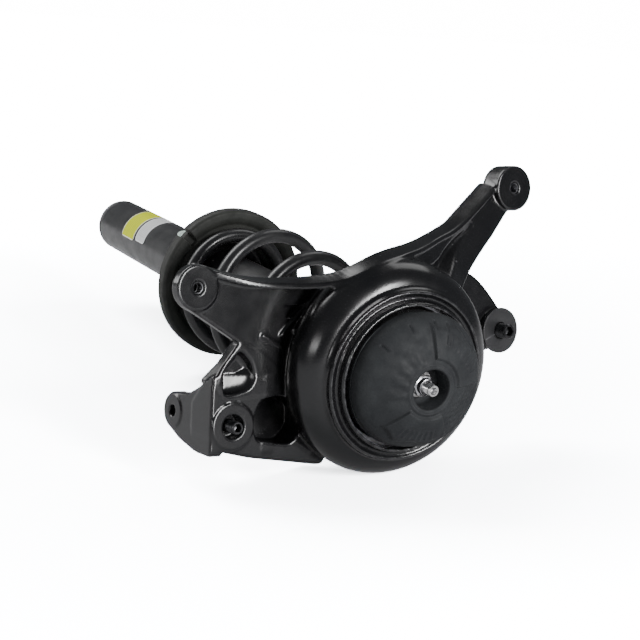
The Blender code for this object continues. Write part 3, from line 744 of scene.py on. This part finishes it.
def upper_pocket(x, y, z):
    """A scoop whose floor falls away from its lower rim, with well rounded corners."""
    plan = plan_distance(x, y, softened(GLOSSY_POCKET, 4.0))
    walls = slab(plan, z, -40.0, 25.0, 1.0)
    uphill = 0.856 * (x + 85.0) + 0.517 * (y - 97.0)
    floor = -6.0 + 0.057 * (x + 85.0) - 0.292 * (y - 90.0) - 0.6 * np.clip(uphill - 13.0, 0.0, 60.0)
    floor = np.maximum(floor, bed_bottom(x) + 4.0)
    return blend_high(walls, (floor - z) * 0.95, 5.0)


def turned_distance(profile):
    """Distance to a solid turned about the damper's axis, read from a fine table of its half section."""
    pitch = 0.4
    radii = np.arange(0.0, 150.0, pitch)
    heights = np.arange(470.0, 660.0, pitch)
    table = plan_distance(radii[:, None], heights[None, :], profile)

    def distance(x, y, z):
        across = x * math.cos(PLANE_TILT) + z * math.sin(PLANE_TILT)
        u = np.clip(np.hypot(across, y) / pitch, 0, len(radii) - 1.001)
        v = np.clip((PLANE_Z - x * math.sin(PLANE_TILT) + z * math.cos(PLANE_TILT) - heights[0]) / pitch,
                    0, len(heights) - 1.001)
        v = np.broadcast_to(v, u.shape)
        i = u.astype(int)
        j = v.astype(int)
        fu = u - i
        fv = v - j
        low = table[i, j] * (1 - fu) + table[i + 1, j] * fu
        high = table[i, j + 1] * (1 - fu) + table[i + 1, j + 1] * fu
        return low * (1 - fv) + high * fv
    return distance


def dome_profile():
    """Half section of the dome with the lip round its opening."""
    shoulder = arc((63.0, 574.0), 23.0, -25.0, 74.0, 22)
    lip = [(68.2, 597.6), (67.4, 599.4), (67.2, 601.4), (66.4, 602.9), (65.2, 603.2), (64.2, 602.4), (63.2, 601.4),
           (61.0, 600.8), (59.6, 602.4), (59.0, 606.6), (58.0, RIM_Z - 0.2), (56.9, RIM_Z)]
    return [(-20.0, 538.0), (73.5, 538.0), (75.5, 540.0), (75.5, 550.0), (76.6, 553.5), (79.2, 558.0),
            *shoulder, *lip, (-20.0, RIM_Z)]


def hollow_profile():
    """Half section of the space inside the dome and of the bush's bore."""
    ceiling = arc((61.0, 573.5), 19.5, 8.0, 80.0, 12)
    return [(-20.0, 480.0), (71.5, 480.0), (71.5, 560.0), (76.5, 568.0), *ceiling, (60.0, 594.6), (56.3, 598.0),
            (56.3, RIM_Z - 1.0), (57.2, RIM_Z + 3.0), (-20.0, RIM_Z + 3.0)]


def build_bracket():
    """Add and cut the bracket's shapes on one grid, and mesh the result as one casting."""
    step = 1.0
    field = Field((-140.0, -128.0, -78.0), (218.0, 188.0, 77.0), step)
    field.add((-110, -40, -20), (70, 188, 10), plan_slab(PLATE, -9.5, -1.5), 1.0)
    field.add((-138, -20, -38), (-40, 125, 8), block_shape, 2.0)
    field.add((-140, 60, -78), (-40, 150, 6), ear_shape(0.0, EAR_THICKNESS), 2.0)
    field.add((-140, 10, -78), (-20, 120, 6), ear_shape(EAR_THICKNESS + EAR_GAP, EAR_THICKNESS - 1.0), 2.0)
    field.add((-100, 45, -36), (-40, 125, 6), pocket_bed, 1.5)
    field.cut((-100, 75, -34), (-45, 120, 20), upper_pocket, 3.0)
    field.cut((-115, 15, -32), (-50, 85, 20), plan_slab(DARK_POCKET, -25.0, 12.0, 0.8, 5.0), 1.6)
    field.cut((-20, 65, -12), (12, 100, 20), plan_slab(DOME_POCKET, -5.5, 12.0, 0.5, 1.5), 0.8)
    for start, end in DOME_RIBS:
        low = (min(start[0], end[0]) - 6, min(start[1], end[1]) - 6, -10)
        high = (max(start[0], end[0]) + 6, max(start[1], end[1]) + 6, 6)
        field.add(low, high, thin_rib(start, end), 1.2)
    field.add((-40, -60, -30), (210, 188, 55), rail_shape(FLANGE, -4.2, 0.6, 2.8, 14.0), 2.5)
    field.add((50, -80, -40), (205, 65, 50), arm_shape, 3.0)
    field.cut((62, -40, -20), (150, 40, 60), channel_shape, 2.0)
    field.add((-105, -105, -50), (120, 105, 77), turned_distance(dome_profile()), 3.0)
    field.add((20, -128, -36), (130, -10, 12), plan_slab(SIDE_ARM, -24.0, -7.0, 3.0, 8.0), 7.0)
    field.add((-65, 130, -20), (-5, 188, 6), drum(BOSS_B, 17.0, -9.5, 0.0), 1.2)
    field.add((-135, 55, -40), (-75, 112, 6), drum(BOSS_C, 18.2, BLOCK_BOTTOM, 0.0, 0.7), 0.6)
    field.add((60, -128, -34), (112, -80, 4), drum(BOSS_D, 16.5, -24.0, -3.2), 3.0)
    field.add((168, -80, -30), (218, -25, 6), drum(BOSS_E, 19.0, -20.0, 0.0, 0.8), 2.0)
    field.add((-140, 70, -78), (-80, 130, -38), ear_drum(13.2, -1.0, 4.0, 0.5), 0.5)
    field.cut((-120, -105, -78), (120, 105, 77), turned_distance(hollow_profile()), 0.6)
    for centre, radius, floor in ((BOSS_B, 5.0, -25.0), (BOSS_C, 9.3, -12.0), (BOSS_D, 6.5, -20.0),
                                  (BOSS_E, 5.0, -21.0)):
        low = (centre[0] - 20, centre[1] - 20, floor - 6)
        high = (centre[0] + 20, centre[1] + 20, 12)
        field.cut(low, high, drum(centre, radius, floor, 8.0, 0.2), 0.5)
    field.cut((-140, 10, -78), (-40, 130, -38), ear_drum(4.4, -5.0, 70.0, 0.2), 0.4)
    points, quads = field.surface()
    world = np.array(FROM_PLANE)
    points = points @ world[:3, :3].T + world[:3, 3]
    mesh = bpy.data.meshes.new("cast_bracket")
    mesh.from_pydata(points * MM, [], quads.tolist())
    mesh.shade_smooth()
    add_piece("cast_bracket", mesh, PAINT, "bracket", ("mount_bracket",))


# ---------------------------------------------------------------- rubber bush and rod end
LEAN_AZIMUTH = -55.0         # side on which the bush bulges over the rim, degrees


def bush_relief(radius, angle):
    """Height of moulded detail on the bush's upper face, by radius in mm and angle in degrees."""
    turn = lambda centre: (angle - centre + 180.0) % 360.0 - 180.0
    height = np.zeros_like(angle)
    for centre, half, low, high in ((-13.0, 45.0, 24.0, 47.0), (205.0, 40.0, 23.0, 46.0)):
        wide = 1.0 - ease(half - 3.0, half, np.abs(turn(centre)))
        scallop = 1.6 * np.cos(np.radians(turn(centre)) * 11.0)
        deep = ease(low - 1.5, low + 0.5, radius) * (1.0 - ease(high - 2.2, high, radius + scallop))
        height += 2.9 * wide * deep
        step = 7.0
        marks = turn(centre) / step
        near_mark = np.abs(marks - np.round(marks)) * step * math.radians(1.0) * 38.0
        bar = (1.0 - ease(0.8, 1.4, near_mark)) * (np.abs(turn(centre)) < 0.62 * half)
        height += 0.8 * bar * ease(33.5, 34.3, radius) * (1.0 - ease(41.5, 42.3, radius))
    for centre in (13.0, 26.0, 51.0, 83.0, 338.0, 230.0):
        across = np.abs(turn(centre)) * math.radians(1.0) * 45.0
        near_edge = ease(42.5, 43.5, radius) * (1.0 - ease(48.0, 49.0, radius))
        height -= 1.4 * (1.0 - ease(0.4, 1.1, across)) * near_edge
    fan = 1.0 - ease(35.0, 60.0, np.abs(turn(95.0)))
    near_hub = ease(20.0, 24.0, radius) * (1.0 - ease(29.0, 34.0, radius))
    height += 0.6 * fan * np.sin(np.radians(angle) * 17.0) * near_hub
    rough = 1.0 - ease(20.0, 34.0, np.abs(turn(275.0)))
    height += 0.7 * rough * np.sin(radius * 1.1) * np.sin(np.radians(angle) * 23.0) * ease(24.0, 28.0, radius)
    height += 0.5 * (1.0 - ease(0.4, 1.2, np.abs(radius - 19.5)))
    return height


def build_bush():
    """The rubber bush: a turned shape that leans to one side, with moulded relief on top."""
    segments = 360
    outer = smooth_curve([(16.6, 637.3), (19.0, 637.0), (28.0, 633.5), (38.0, 628.0), (46.0, 622.5), (50.5, 617.0),
                          (52.3, 611.0)], 10)
    angles = np.arange(segments) * 360.0 / segments
    lean = np.cos(np.radians(angles - LEAN_AZIMUTH))
    lap = ease(-0.15, 0.75, lean)
    bore = [(13.3, 577.0), (13.3, 600.0), (11.3, 619.0), (15.0, 620.8), (15.5, 622.0), (15.5, 636.4),
            (15.9, 637.1)]
    foot = [(53.0, 608.0), (52.5, 606.0), (52.5, 600.0), (50.0, 594.0), (50.0, 584.0), (64.0, 584.0),
            (64.0, 577.0)]
    points = [[place] * segments for place in bore]
    for point in outer:
        share = ease(17.0, 52.0, point.x)
        lift = bush_relief(np.full(segments, point.x), angles) + share * (2.0 * lean + 0.8)
        spread = 1.0 + share * 0.065 * lap
        points.append(list(zip(point.x * spread, point.y + lift)))
    points.append(list(zip(52.4 + 3.2 * lap, 609.6 + 1.8 * lean)))
    points += [[place] * segments for place in foot]
    flat = []
    for row in points:
        for step, (radius, height) in enumerate(row):
            angle = math.radians(angles[step])
            flat.append((radius * math.cos(angle), radius * math.sin(angle), height))
    add_mesh("moulded_bush", flat, ring_faces(len(points), segments, closed=True), MOUNT_RUBBER, "bracket",
             ("top_mount_rubber",), 60.0)


def lock_nut(low, high):
    """A hexagon nut with a thin crimped collar round a sunken locking ring."""
    flats = 15.0
    corner = hexagon(flats)
    shoulder = high - 4.2

    def chamfered(angle):
        return min(corner(angle), flats * 0.555)
    rows = [(5.5, low), (5.0, low + 0.5), (5.0, high - 1.7), (5.7, high - 1.5), (5.85, high - 0.2), (6.1, high),
            (6.4, high - 0.15), (6.6, high - 0.6), (6.6, shoulder), (chamfered, shoulder - 0.3),
            (corner, shoulder - 1.0), (corner, low + 1.0), (chamfered, low + 0.35), (flats * 0.47, low)]
    points, faces = spun(rows, 96, closed=True)
    add_mesh("lock_nut", points, faces, NUT_STEEL, "bracket", ("rod_nut",), 25.0)


def stud(letter, centre, radius, low, high, flats, socket_depth):
    """A threaded stud in a pad, with a hexagon socket in its tip."""
    socket = hexagon(flats)
    rows = [(0.0, low), (radius - 0.7, low), (radius, low + 0.7)]
    rows += thread_rows(radius, THREAD_PITCH, low + 0.8, high - 0.9, 0.62)
    rows += [(radius - 0.75, high), (lambda angle: socket(angle) + 0.35, high),
             (socket, high - 0.35), (socket, high - socket_depth), (0.0, high - socket_depth - 0.8)]
    points, faces = spun(rows, 72)
    add_mesh("pad_stud_" + letter, lay_in_plane(points, centre), faces, BLACK_STUD, "bracket", ("stud_" + letter,),
             32.0)


def lay_in_plane(points, centre):
    """Stand points drawn about the Z axis on a place in the bracket's plane."""
    return [FROM_PLANE @ Vector((point[0] + centre[0], point[1] + centre[1], point[2])) for point in points]


def build_rod_end():
    """The rod with its threaded end, nut and washer."""
    low = bottom_of("piston_rod")
    socket = hexagon(5.0)
    rows = [(0.0, low), (4.0, low), (4.0, low + 34.0), (6.5, low + 34.3), (6.5, 605.0), (6.0, 606.6),
            (4.75, 607.4)]
    rows += thread_rows(4.75, THREAD_PITCH, 608.0, ROD_TIP - 1.0, 0.6)
    rows += [(4.1, ROD_TIP), (lambda angle: socket(angle) + 0.4, ROD_TIP), (socket, ROD_TIP - 0.4),
             (socket, ROD_TIP - 5.5), (0.0, ROD_TIP - 6.2)]
    points, faces = spun(rows, 72)
    add_mesh("threaded_rod", points, faces, STEEL, "bracket", ("piston_rod",), 30.0)
    lock_nut(bottom_of("rod_nut"), top_of("rod_nut"))
    washer_low, washer_high = bottom_of("rod_washer"), top_of("rod_washer")
    turned("plain_washer", [(5.05, washer_low), (10.5, washer_low), (10.5, washer_high), (5.05, washer_high)],
           STEEL, "bracket", ("rod_washer",), 96, 0.3)


# ---------------------------------------------------------------- fasteners in the pads
def build_fasteners():
    stud("c", BOSS_C, 5.0, -11.7, 6.0, 5.8, 6.5)
    stud("d", BOSS_D, 6.2, -19.7, 11.0, 7.4, 6.0)
    profile = softened([(6.7, -2.7), (19.2, -2.7), (19.2, 0.0), (18.4, 0.0), (7.4, 0.0), (6.7, -0.6)], 0.5)
    points, faces = spun(profile, 128, closed=True)
    add_mesh("pad_washer_d", lay_in_plane(points, BOSS_D), faces, TUBE_PAINT, "bracket", ("washer_d",),
             50.0)
    for letter, centre, low, finish in (("b", BOSS_B, -8.6, BLACK_STUD), ("e", BOSS_E, -19.0, INSERT_STEEL)):
        rows = [(4.7, low), (4.7, -1.2), (4.5, -0.9), (4.1, -0.9)]
        rows += thread_rows(3.7, THREAD_PITCH, low + 0.2, -1.0, 0.5, inward=-1.0)[::-1]
        points, faces = spun(rows, 72, closed=True)
        add_mesh("thread_" + letter, lay_in_plane(points, centre), faces, finish, "bracket",
                 ("thread_insert_" + letter,), 35.0)


# ---------------------------------------------------------------- damper tube, seat and pad
def build_tube():
    """The tube with its closed, rounded foot and its crimped cap."""
    inner = TUBE_R - 2.2
    turned("tube_shell", [(inner, 9.4), (TUBE_R, 9.4), (TUBE_R, TUBE_TOP - 16.0), (TUBE_R, TUBE_TOP - 3.0),
                          (TUBE_R - 1.2, TUBE_TOP), (inner, TUBE_TOP)],
           TUBE_PAINT, "damper", ("damper_tube",), 160, 0.4)
    foot = [(0.001, 0.0), (20.0, 0.0), (21.5, 0.7), (22.6, 0.9), *arc((22.4, 5.4), 5.1, -78.0, 0.0, 10),
            (TUBE_R, 5.6), (TUBE_R, 8.2), (TUBE_R - 0.5, 9.0), (inner - 0.3, 9.0), (inner - 0.3, 15.0),
            (0.001, 15.0)]
    points, faces = spun(foot, 160, closed=True)
    add_mesh("tube_foot", points, faces, TUBE_PAINT, "damper", ("tube_end_cap",), 55.0)
    outer = radius_of("tube_top_cap")
    turned("crimped_cap", [(9.0, TUBE_TOP + 0.3), (TUBE_R - 1.0, TUBE_TOP + 0.3), (TUBE_R + 0.3, TUBE_TOP - 3.0),
                           (TUBE_R + 0.3, TUBE_TOP - 14.0), (outer, TUBE_TOP - 14.0), (outer, TUBE_TOP - 1.0),
                           (TUBE_R - 1.0, TUBE_TOP + 2.2), (9.0, TUBE_TOP + 2.2)],
           ZINC, "damper", ("tube_top_cap",), 128, 1.0)


def build_seat():
    """The pressed dish on the tube and the rubber ring on it, cut through at one notch."""
    bore = TUBE_R + 0.3
    turned("seat_dish", [(bore, SEAT_Z - 22.0), (bore + 3.0, SEAT_Z - 22.0), (bore + 3.0, SEAT_Z - 8.0),
                         (38.0, SEAT_Z - 3.2), (60.0, SEAT_Z - 3.2), (66.0, SEAT_Z + 1.0), (66.0, SEAT_Z + 4.0),
                         (63.0, SEAT_Z + 4.0), (58.5, SEAT_Z), (37.0, SEAT_Z), (bore, SEAT_Z - 5.0)],
           TUBE_PAINT, "damper", ("lower_spring_seat",), 144, 1.6)
    outer = radius_of("lower_spring_pad")
    high = top_of("lower_spring_pad")
    notch_centre, notch_half = math.radians(80.0), math.radians(4.0)
    lowered = high - 7.5

    def in_notch(angle):
        return abs((angle - notch_centre + math.pi) % (2.0 * math.pi) - math.pi) < notch_half

    def with_notch(height):
        return lambda angle: min(height, lowered) if in_notch(angle) else height

    def split_at(reach):
        return lambda angle: min(reach, 66.5) if in_notch(angle) else reach
    ring = softened([(40.0, SEAT_Z + 0.3), (58.0, SEAT_Z + 0.3), (62.0, SEAT_Z + 4.3), (66.3, SEAT_Z + 4.3),
                     (66.3, SEAT_Z - 1.0), (outer, SEAT_Z - 0.6), (outer, high - 2.4), (outer - 2.2, high),
                     (62.5, high), (59.0, high - 1.4), (56.5, SEAT_Z + 9.5), (40.0, SEAT_Z + 9.5)], 1.2)
    rows = []
    for radius, height in ring:
        deep = radius > 55.5 and height > lowered
        rows.append((split_at(radius), with_notch(height) if deep else height))
    points, faces = spun(rows, 360, closed=True)
    add_mesh("seat_pad", points, faces, PAD_RUBBER, "damper", ("lower_spring_pad",), 40.0)


def build_spring():
    """The coil, wound through knots of (turns, radius, height)."""
    route = [(0.30, 47.5, 296.2), (1.00, 47.5, 297.6), (1.35, 53.0, 309.0), (2.00, 61.5, 360.0), (3.00, 57.5, 434.0),
             (4.00, 57.0, 508.0), (4.55, 57.0, 546.0), (4.80, 57.0, 557.0), (5.45, 57.0, 560.3)]
    wire = 6.4
    knots = np.array(route)
    turns = knots[-1, 0] - knots[0, 0]
    count = int(turns * (64))
    sides = 24
    where = knots[0, 0] + turns * np.arange(count + 1) / count
    radius = hermite(where, knots[:, 0], knots[:, 1])
    height = hermite(where, knots[:, 0], knots[:, 2])
    angle = 2.0 * math.pi * where
    centre = np.stack([radius * np.cos(angle), radius * np.sin(angle), height], axis=1)
    tangent = np.gradient(centre, axis=0)
    tangent /= np.linalg.norm(tangent, axis=1)[:, None]
    side = np.cross(tangent, (0.0, 0.0, 1.0))
    side /= np.linalg.norm(side, axis=1)[:, None]
    up = np.cross(side, tangent)
    points = []
    for index in range(count + 1):
        for step in range(sides):
            turn = 2.0 * math.pi * step / sides
            points.append(centre[index] + wire * (side[index] * math.cos(turn) + up[index] * math.sin(turn)))
    faces = ring_faces(count + 1, sides)
    faces.append(tuple(range(sides))[::-1])
    faces.append(tuple(count * sides + step for step in range(sides)))
    coil = add_mesh("wound_coil", points, faces, COIL_COAT, "bracket", ("coil_spring",), 50.0)
    squash_with_stroke(coil)


def hermite(where, knots, values):
    """Monotone cubic through knots, so that the coil neither dips nor bulges between them."""
    slope = np.diff(values) / np.diff(knots)
    tangent = np.zeros(len(knots))
    for index in range(1, len(knots) - 1):
        if slope[index - 1] * slope[index] > 0.0:
            tangent[index] = 2.0 * slope[index - 1] * slope[index] / (slope[index - 1] + slope[index])
    index = np.clip(np.searchsorted(knots, where) - 1, 0, len(knots) - 2)
    width = np.diff(knots)[index]
    t = (where - knots[index]) / width
    return ((2 * t ** 3 - 3 * t ** 2 + 1) * values[index] + (t ** 3 - 2 * t ** 2 + t) * width * tangent[index]
            + (3 * t ** 2 - 2 * t ** 3) * values[index + 1] + (t ** 3 - t ** 2) * width * tangent[index + 1])


def squash_with_stroke(piece):
    """Give a piece that spans the stroke its own copy of its mesh."""
    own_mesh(piece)


def build_boot():
    """The bellows between the tube's cap and the bush."""
    low = bottom_of("dust_boot")
    high = top_of("dust_boot")
    folds = 6
    steps = folds * 16
    outside = []
    for step in range(steps + 1):
        share = step / steps
        wave = 0.5 - 0.5 * math.cos(2.0 * math.pi * folds * share)
        outside.append((26.5 + 4.4 * wave ** 0.7, low + (high - low) * share))
    inside = [(radius - 1.4, height) for radius, height in outside[::-1]]
    points, faces = spun(outside + inside, 96, closed=True)
    boot = add_mesh("bellows_boot", points, faces, BOOT_RUBBER, "bracket", ("dust_boot",), 60.0)
    squash_with_stroke(boot)


# ---------------------------------------------------------------- stickers
def sticker(name, azimuth, span, low, high, corner, finish, node):
    """A thin film round the tube, with rounded corners, or an oval if its corner radius is zero."""
    columns = 48
    inner = TUBE_R + 0.12
    half_width = math.radians(0.5 * span) * TUBE_R
    half_height = 0.5 * (high - low)
    points = []
    for column in range(columns + 1):
        share = math.sin(0.5 * math.pi * (2.0 * column / columns - 1.0))
        across = half_width * share
        if corner:
            into_corner = max(0.0, abs(across) - (half_width - corner))
            reach = half_height - corner + math.sqrt(max(corner ** 2 - into_corner ** 2, 0.0))
        else:
            reach = half_height * math.sqrt(max(1.0 - share ** 2, 0.0))
        reach = max(reach, 0.05)
        angle = math.radians(azimuth) + across / TUBE_R
        middle = 0.5 * (low + high)
        for radius, height in ((inner, middle - reach), (inner + 0.3, middle - reach),
                               (inner + 0.3, middle + reach), (inner, middle + reach)):
            points.append((radius * math.cos(angle), radius * math.sin(angle), height))
    faces = ring_faces(columns + 1, 4)
    faces.append((0, 1, 2, 3))
    faces.append(tuple(columns * 4 + side for side in (3, 2, 1, 0)))
    add_mesh(name, points, faces, finish, "damper", (node,), 50.0)


def build_stickers():
    low, high = bottom_of("yellow_label"), top_of("yellow_label")
    yellow = printed_film("yellow_film", (0.56, 0.62, 0.0015), (0.74, 0.76, 0.6), (0.36, 0.4, 0.01),
                          68.0, 49.0, low, high, 1500.0)
    sticker("film_yellow", 68.0, 98.0, low, high, 4.0, yellow, "yellow_label")
    low, high = bottom_of("silver_label"), top_of("silver_label")
    silver = printed_film("silver_film", (0.62, 0.63, 0.63), (0.78, 0.79, 0.8), (0.16, 0.17, 0.18),
                          66.0, 47.0, low, high, 2100.0)
    sticker("film_silver", 66.0, 94.0, low, high, 3.0, silver, "silver_label")
    low, high = bottom_of("round_sticker"), top_of("round_sticker")
    green = ringed_film("round_film", (0.55, 0.66, 0.6), (0.18, 0.3, 0.26), 40.0, 0.5 * (low + high), 11.5)
    sticker("film_round", 40.0, 42.0, low, high, 0.0, green, "round_sticker")


# ---------------------------------------------------------------- CAD nodes that stay
def dress_nodes():
    looks = {
        "base_valve": ZINC, "pressure_tube": STEEL, "rod_guide": ZINC, "rod_seal": BOOT_RUBBER, "piston": ZINC,
        "piston_band": BAND, "valve_shims": STEEL, "piston_nut": ZINC, "rebound_stop": BOOT_RUBBER,
        "bump_stop": FOAM, "bump_stop_cup": ZINC, "mount_sleeve": ZINC, "mount_clamp_ring": ZINC,
        "upper_spring_pad": PAD_RUBBER, "upper_spring_seat": TUBE_PAINT,
    }
    for name, finish in looks.items():
        node = frame["nodes"][name]
        node.data.materials.clear()
        node.data.materials.append(finish)


# ---------------------------------------------------------------- camera, floor and light
CAMERA_PLACE = Vector((-0.0760, 0.6401, 1.4610))
CAMERA_RIGHT = Vector((0.55525, -0.67979, 0.47915))
CAMERA_UP = Vector((0.82872, 0.50086, -0.24974))
CAMERA_BACK = Vector((-0.07022, 0.53575, 0.84145))
FLOOR_UP = (CAMERA_UP * 0.955 + CAMERA_BACK * 0.25 + CAMERA_RIGHT * 0.06).normalized()


def build_camera():
    data = bpy.data.cameras.new("camera")
    data.lens = 79.31
    data.sensor_width = 36.0
    data.clip_end = 30.0
    camera = bpy.data.objects.new("camera", data)
    bpy.context.scene.collection.objects.link(camera)
    turn = Matrix((CAMERA_RIGHT, CAMERA_UP, CAMERA_BACK)).transposed()
    camera.matrix_world = Matrix.Translation(CAMERA_PLACE) @ turn.to_4x4()
    bpy.context.scene.camera = camera


def floor_material():
    """Pale floor, seen only from above, that runs into the white background far from the part: seen by the camera,
    its diffuse colour is nine times as bright, and it has a painted glow that grows with distance from the part.
    """
    finish = Finish("pale_floor", 0.6)
    finish.shader.inputs["Base Color"].default_value = (0.62, 0.62, 0.63, 1.0)
    finish.shader.inputs["Specular IOR Level"].default_value = 0.0
    lit = finish.node("ShaderNodeBsdfDiffuse")
    lit.inputs["Color"].default_value = (9.0, 9.2, 9.5, 1.0)
    offset = finish.node("ShaderNodeVectorMath", operation="DISTANCE")
    finish.link(finish.place, offset.inputs[0])
    offset.inputs[1].default_value = tuple(MIDDLE)
    # painted glow: the floor shines more the farther it lies from the part, for camera rays only
    glow = finish.node("ShaderNodeEmission")
    finish.link(finish.remap(offset.outputs["Value"], 0.35, 1.8, 0.0, 16.0), glow.inputs["Strength"])
    bright = finish.node("ShaderNodeAddShader")
    finish.link(lit.outputs["BSDF"], bright.inputs[0])
    finish.link(glow.outputs["Emission"], bright.inputs[1])
    seen = finish.node("ShaderNodeLightPath").outputs["Is Camera Ray"]
    behind = finish.node("ShaderNodeNewGeometry").outputs["Backfacing"]
    clear = finish.node("ShaderNodeBsdfTransparent").outputs["BSDF"]
    top = finish.choose(seen, finish.shader.outputs["BSDF"], bright.outputs["Shader"])
    finish.link(finish.choose(behind, top, clear), finish.tree.nodes["Material Output"].inputs["Surface"])
    return finish.material


def build_floor():
    """A plane that the part lies on, square to FLOOR_UP and below its lowest point."""
    lowest = min(FLOOR_UP.dot(vertex.co) for node in frame["nodes"].values() for vertex in node.data.vertices)
    centre = FLOOR_UP * (lowest - 0.0005)
    centre = centre + MIDDLE - FLOOR_UP * FLOOR_UP.dot(MIDDLE)
    along_floor = CAMERA_RIGHT - FLOOR_UP * FLOOR_UP.dot(CAMERA_RIGHT)
    along_floor.normalize()
    away = FLOOR_UP.cross(along_floor)
    reach = 6.0
    corners = [centre + along_floor * a * reach + away * b * reach
               for a, b in ((-1, -1), (1, -1), (1, 1), (-1, 1))]
    mesh = bpy.data.meshes.new("floor")
    mesh.from_pydata(corners, [], [(0, 1, 2, 3)])
    mesh.materials.append(floor_material())
    floor = bpy.data.objects.new("floor", mesh)
    bpy.context.scene.collection.objects.link(floor)


def softbox(name, offset, size, power):
    """An area light at an offset along the camera's right, up and back, aimed at the part."""
    target = MIDDLE + Vector((0.0, 0.0, 0.12))
    place = target + CAMERA_RIGHT * offset[0] + CAMERA_UP * offset[1] + CAMERA_BACK * offset[2]
    data = bpy.data.lights.new(name, "AREA")
    data.shape = "RECTANGLE"
    data.size = size[0]
    data.size_y = size[1]
    data.energy = power
    light = bpy.data.objects.new(name, data)
    bpy.context.scene.collection.objects.link(light)
    light.matrix_world = Matrix.Translation(place) @ (place - target).to_track_quat("Z", "Y").to_matrix().to_4x4()


def build_world():
    world = bpy.data.worlds.new("studio")
    bpy.context.scene.world = world
    world.use_nodes = True
    tree = world.node_tree
    background = tree.nodes["Background"]
    white = tree.nodes.new("ShaderNodeBackground")
    white.inputs["Color"].default_value = (1.0, 1.0, 1.0, 1.0)
    white.inputs["Strength"].default_value = 16.0
    background.inputs["Color"].default_value = (0.9, 0.95, 1.0, 1.0)
    background.inputs["Strength"].default_value = 0.13
    path = tree.nodes.new("ShaderNodeLightPath")
    mixer = tree.nodes.new("ShaderNodeMixShader")
    tree.links.new(path.outputs["Is Camera Ray"], mixer.inputs["Fac"])
    tree.links.new(background.outputs["Background"], mixer.inputs[1])
    tree.links.new(white.outputs["Background"], mixer.inputs[2])
    tree.links.new(mixer.outputs["Shader"], tree.nodes["World Output"].inputs["Surface"])


SOFTBOXES = (       # name, offset and size in metres, power in watts
    ("right_strip", (1.28, 0.05, 1.54), (0.3, 1.3), 70.0),
    ("left_strip", (-0.95, 0.0, 1.76), (0.25, 0.9), 7.0),
    ("top_softbox", (-1.1, 2.0, -0.4), (1.7, 1.2), 46.0),
    ("left_softbox", (-2.0, 0.9, -0.3), (0.9, 1.2), 22.0),
    ("arm_softbox", (1.1, 1.9, -0.5), (1.1, 1.0), 8.0),
)


for build in (build_camera, build_bracket, build_bush, build_rod_end, build_fasteners, build_tube, build_seat,
              build_spring, build_boot, build_stickers, dress_nodes, build_floor, build_world):
    build()
for box in SOFTBOXES:
    softbox(*box)
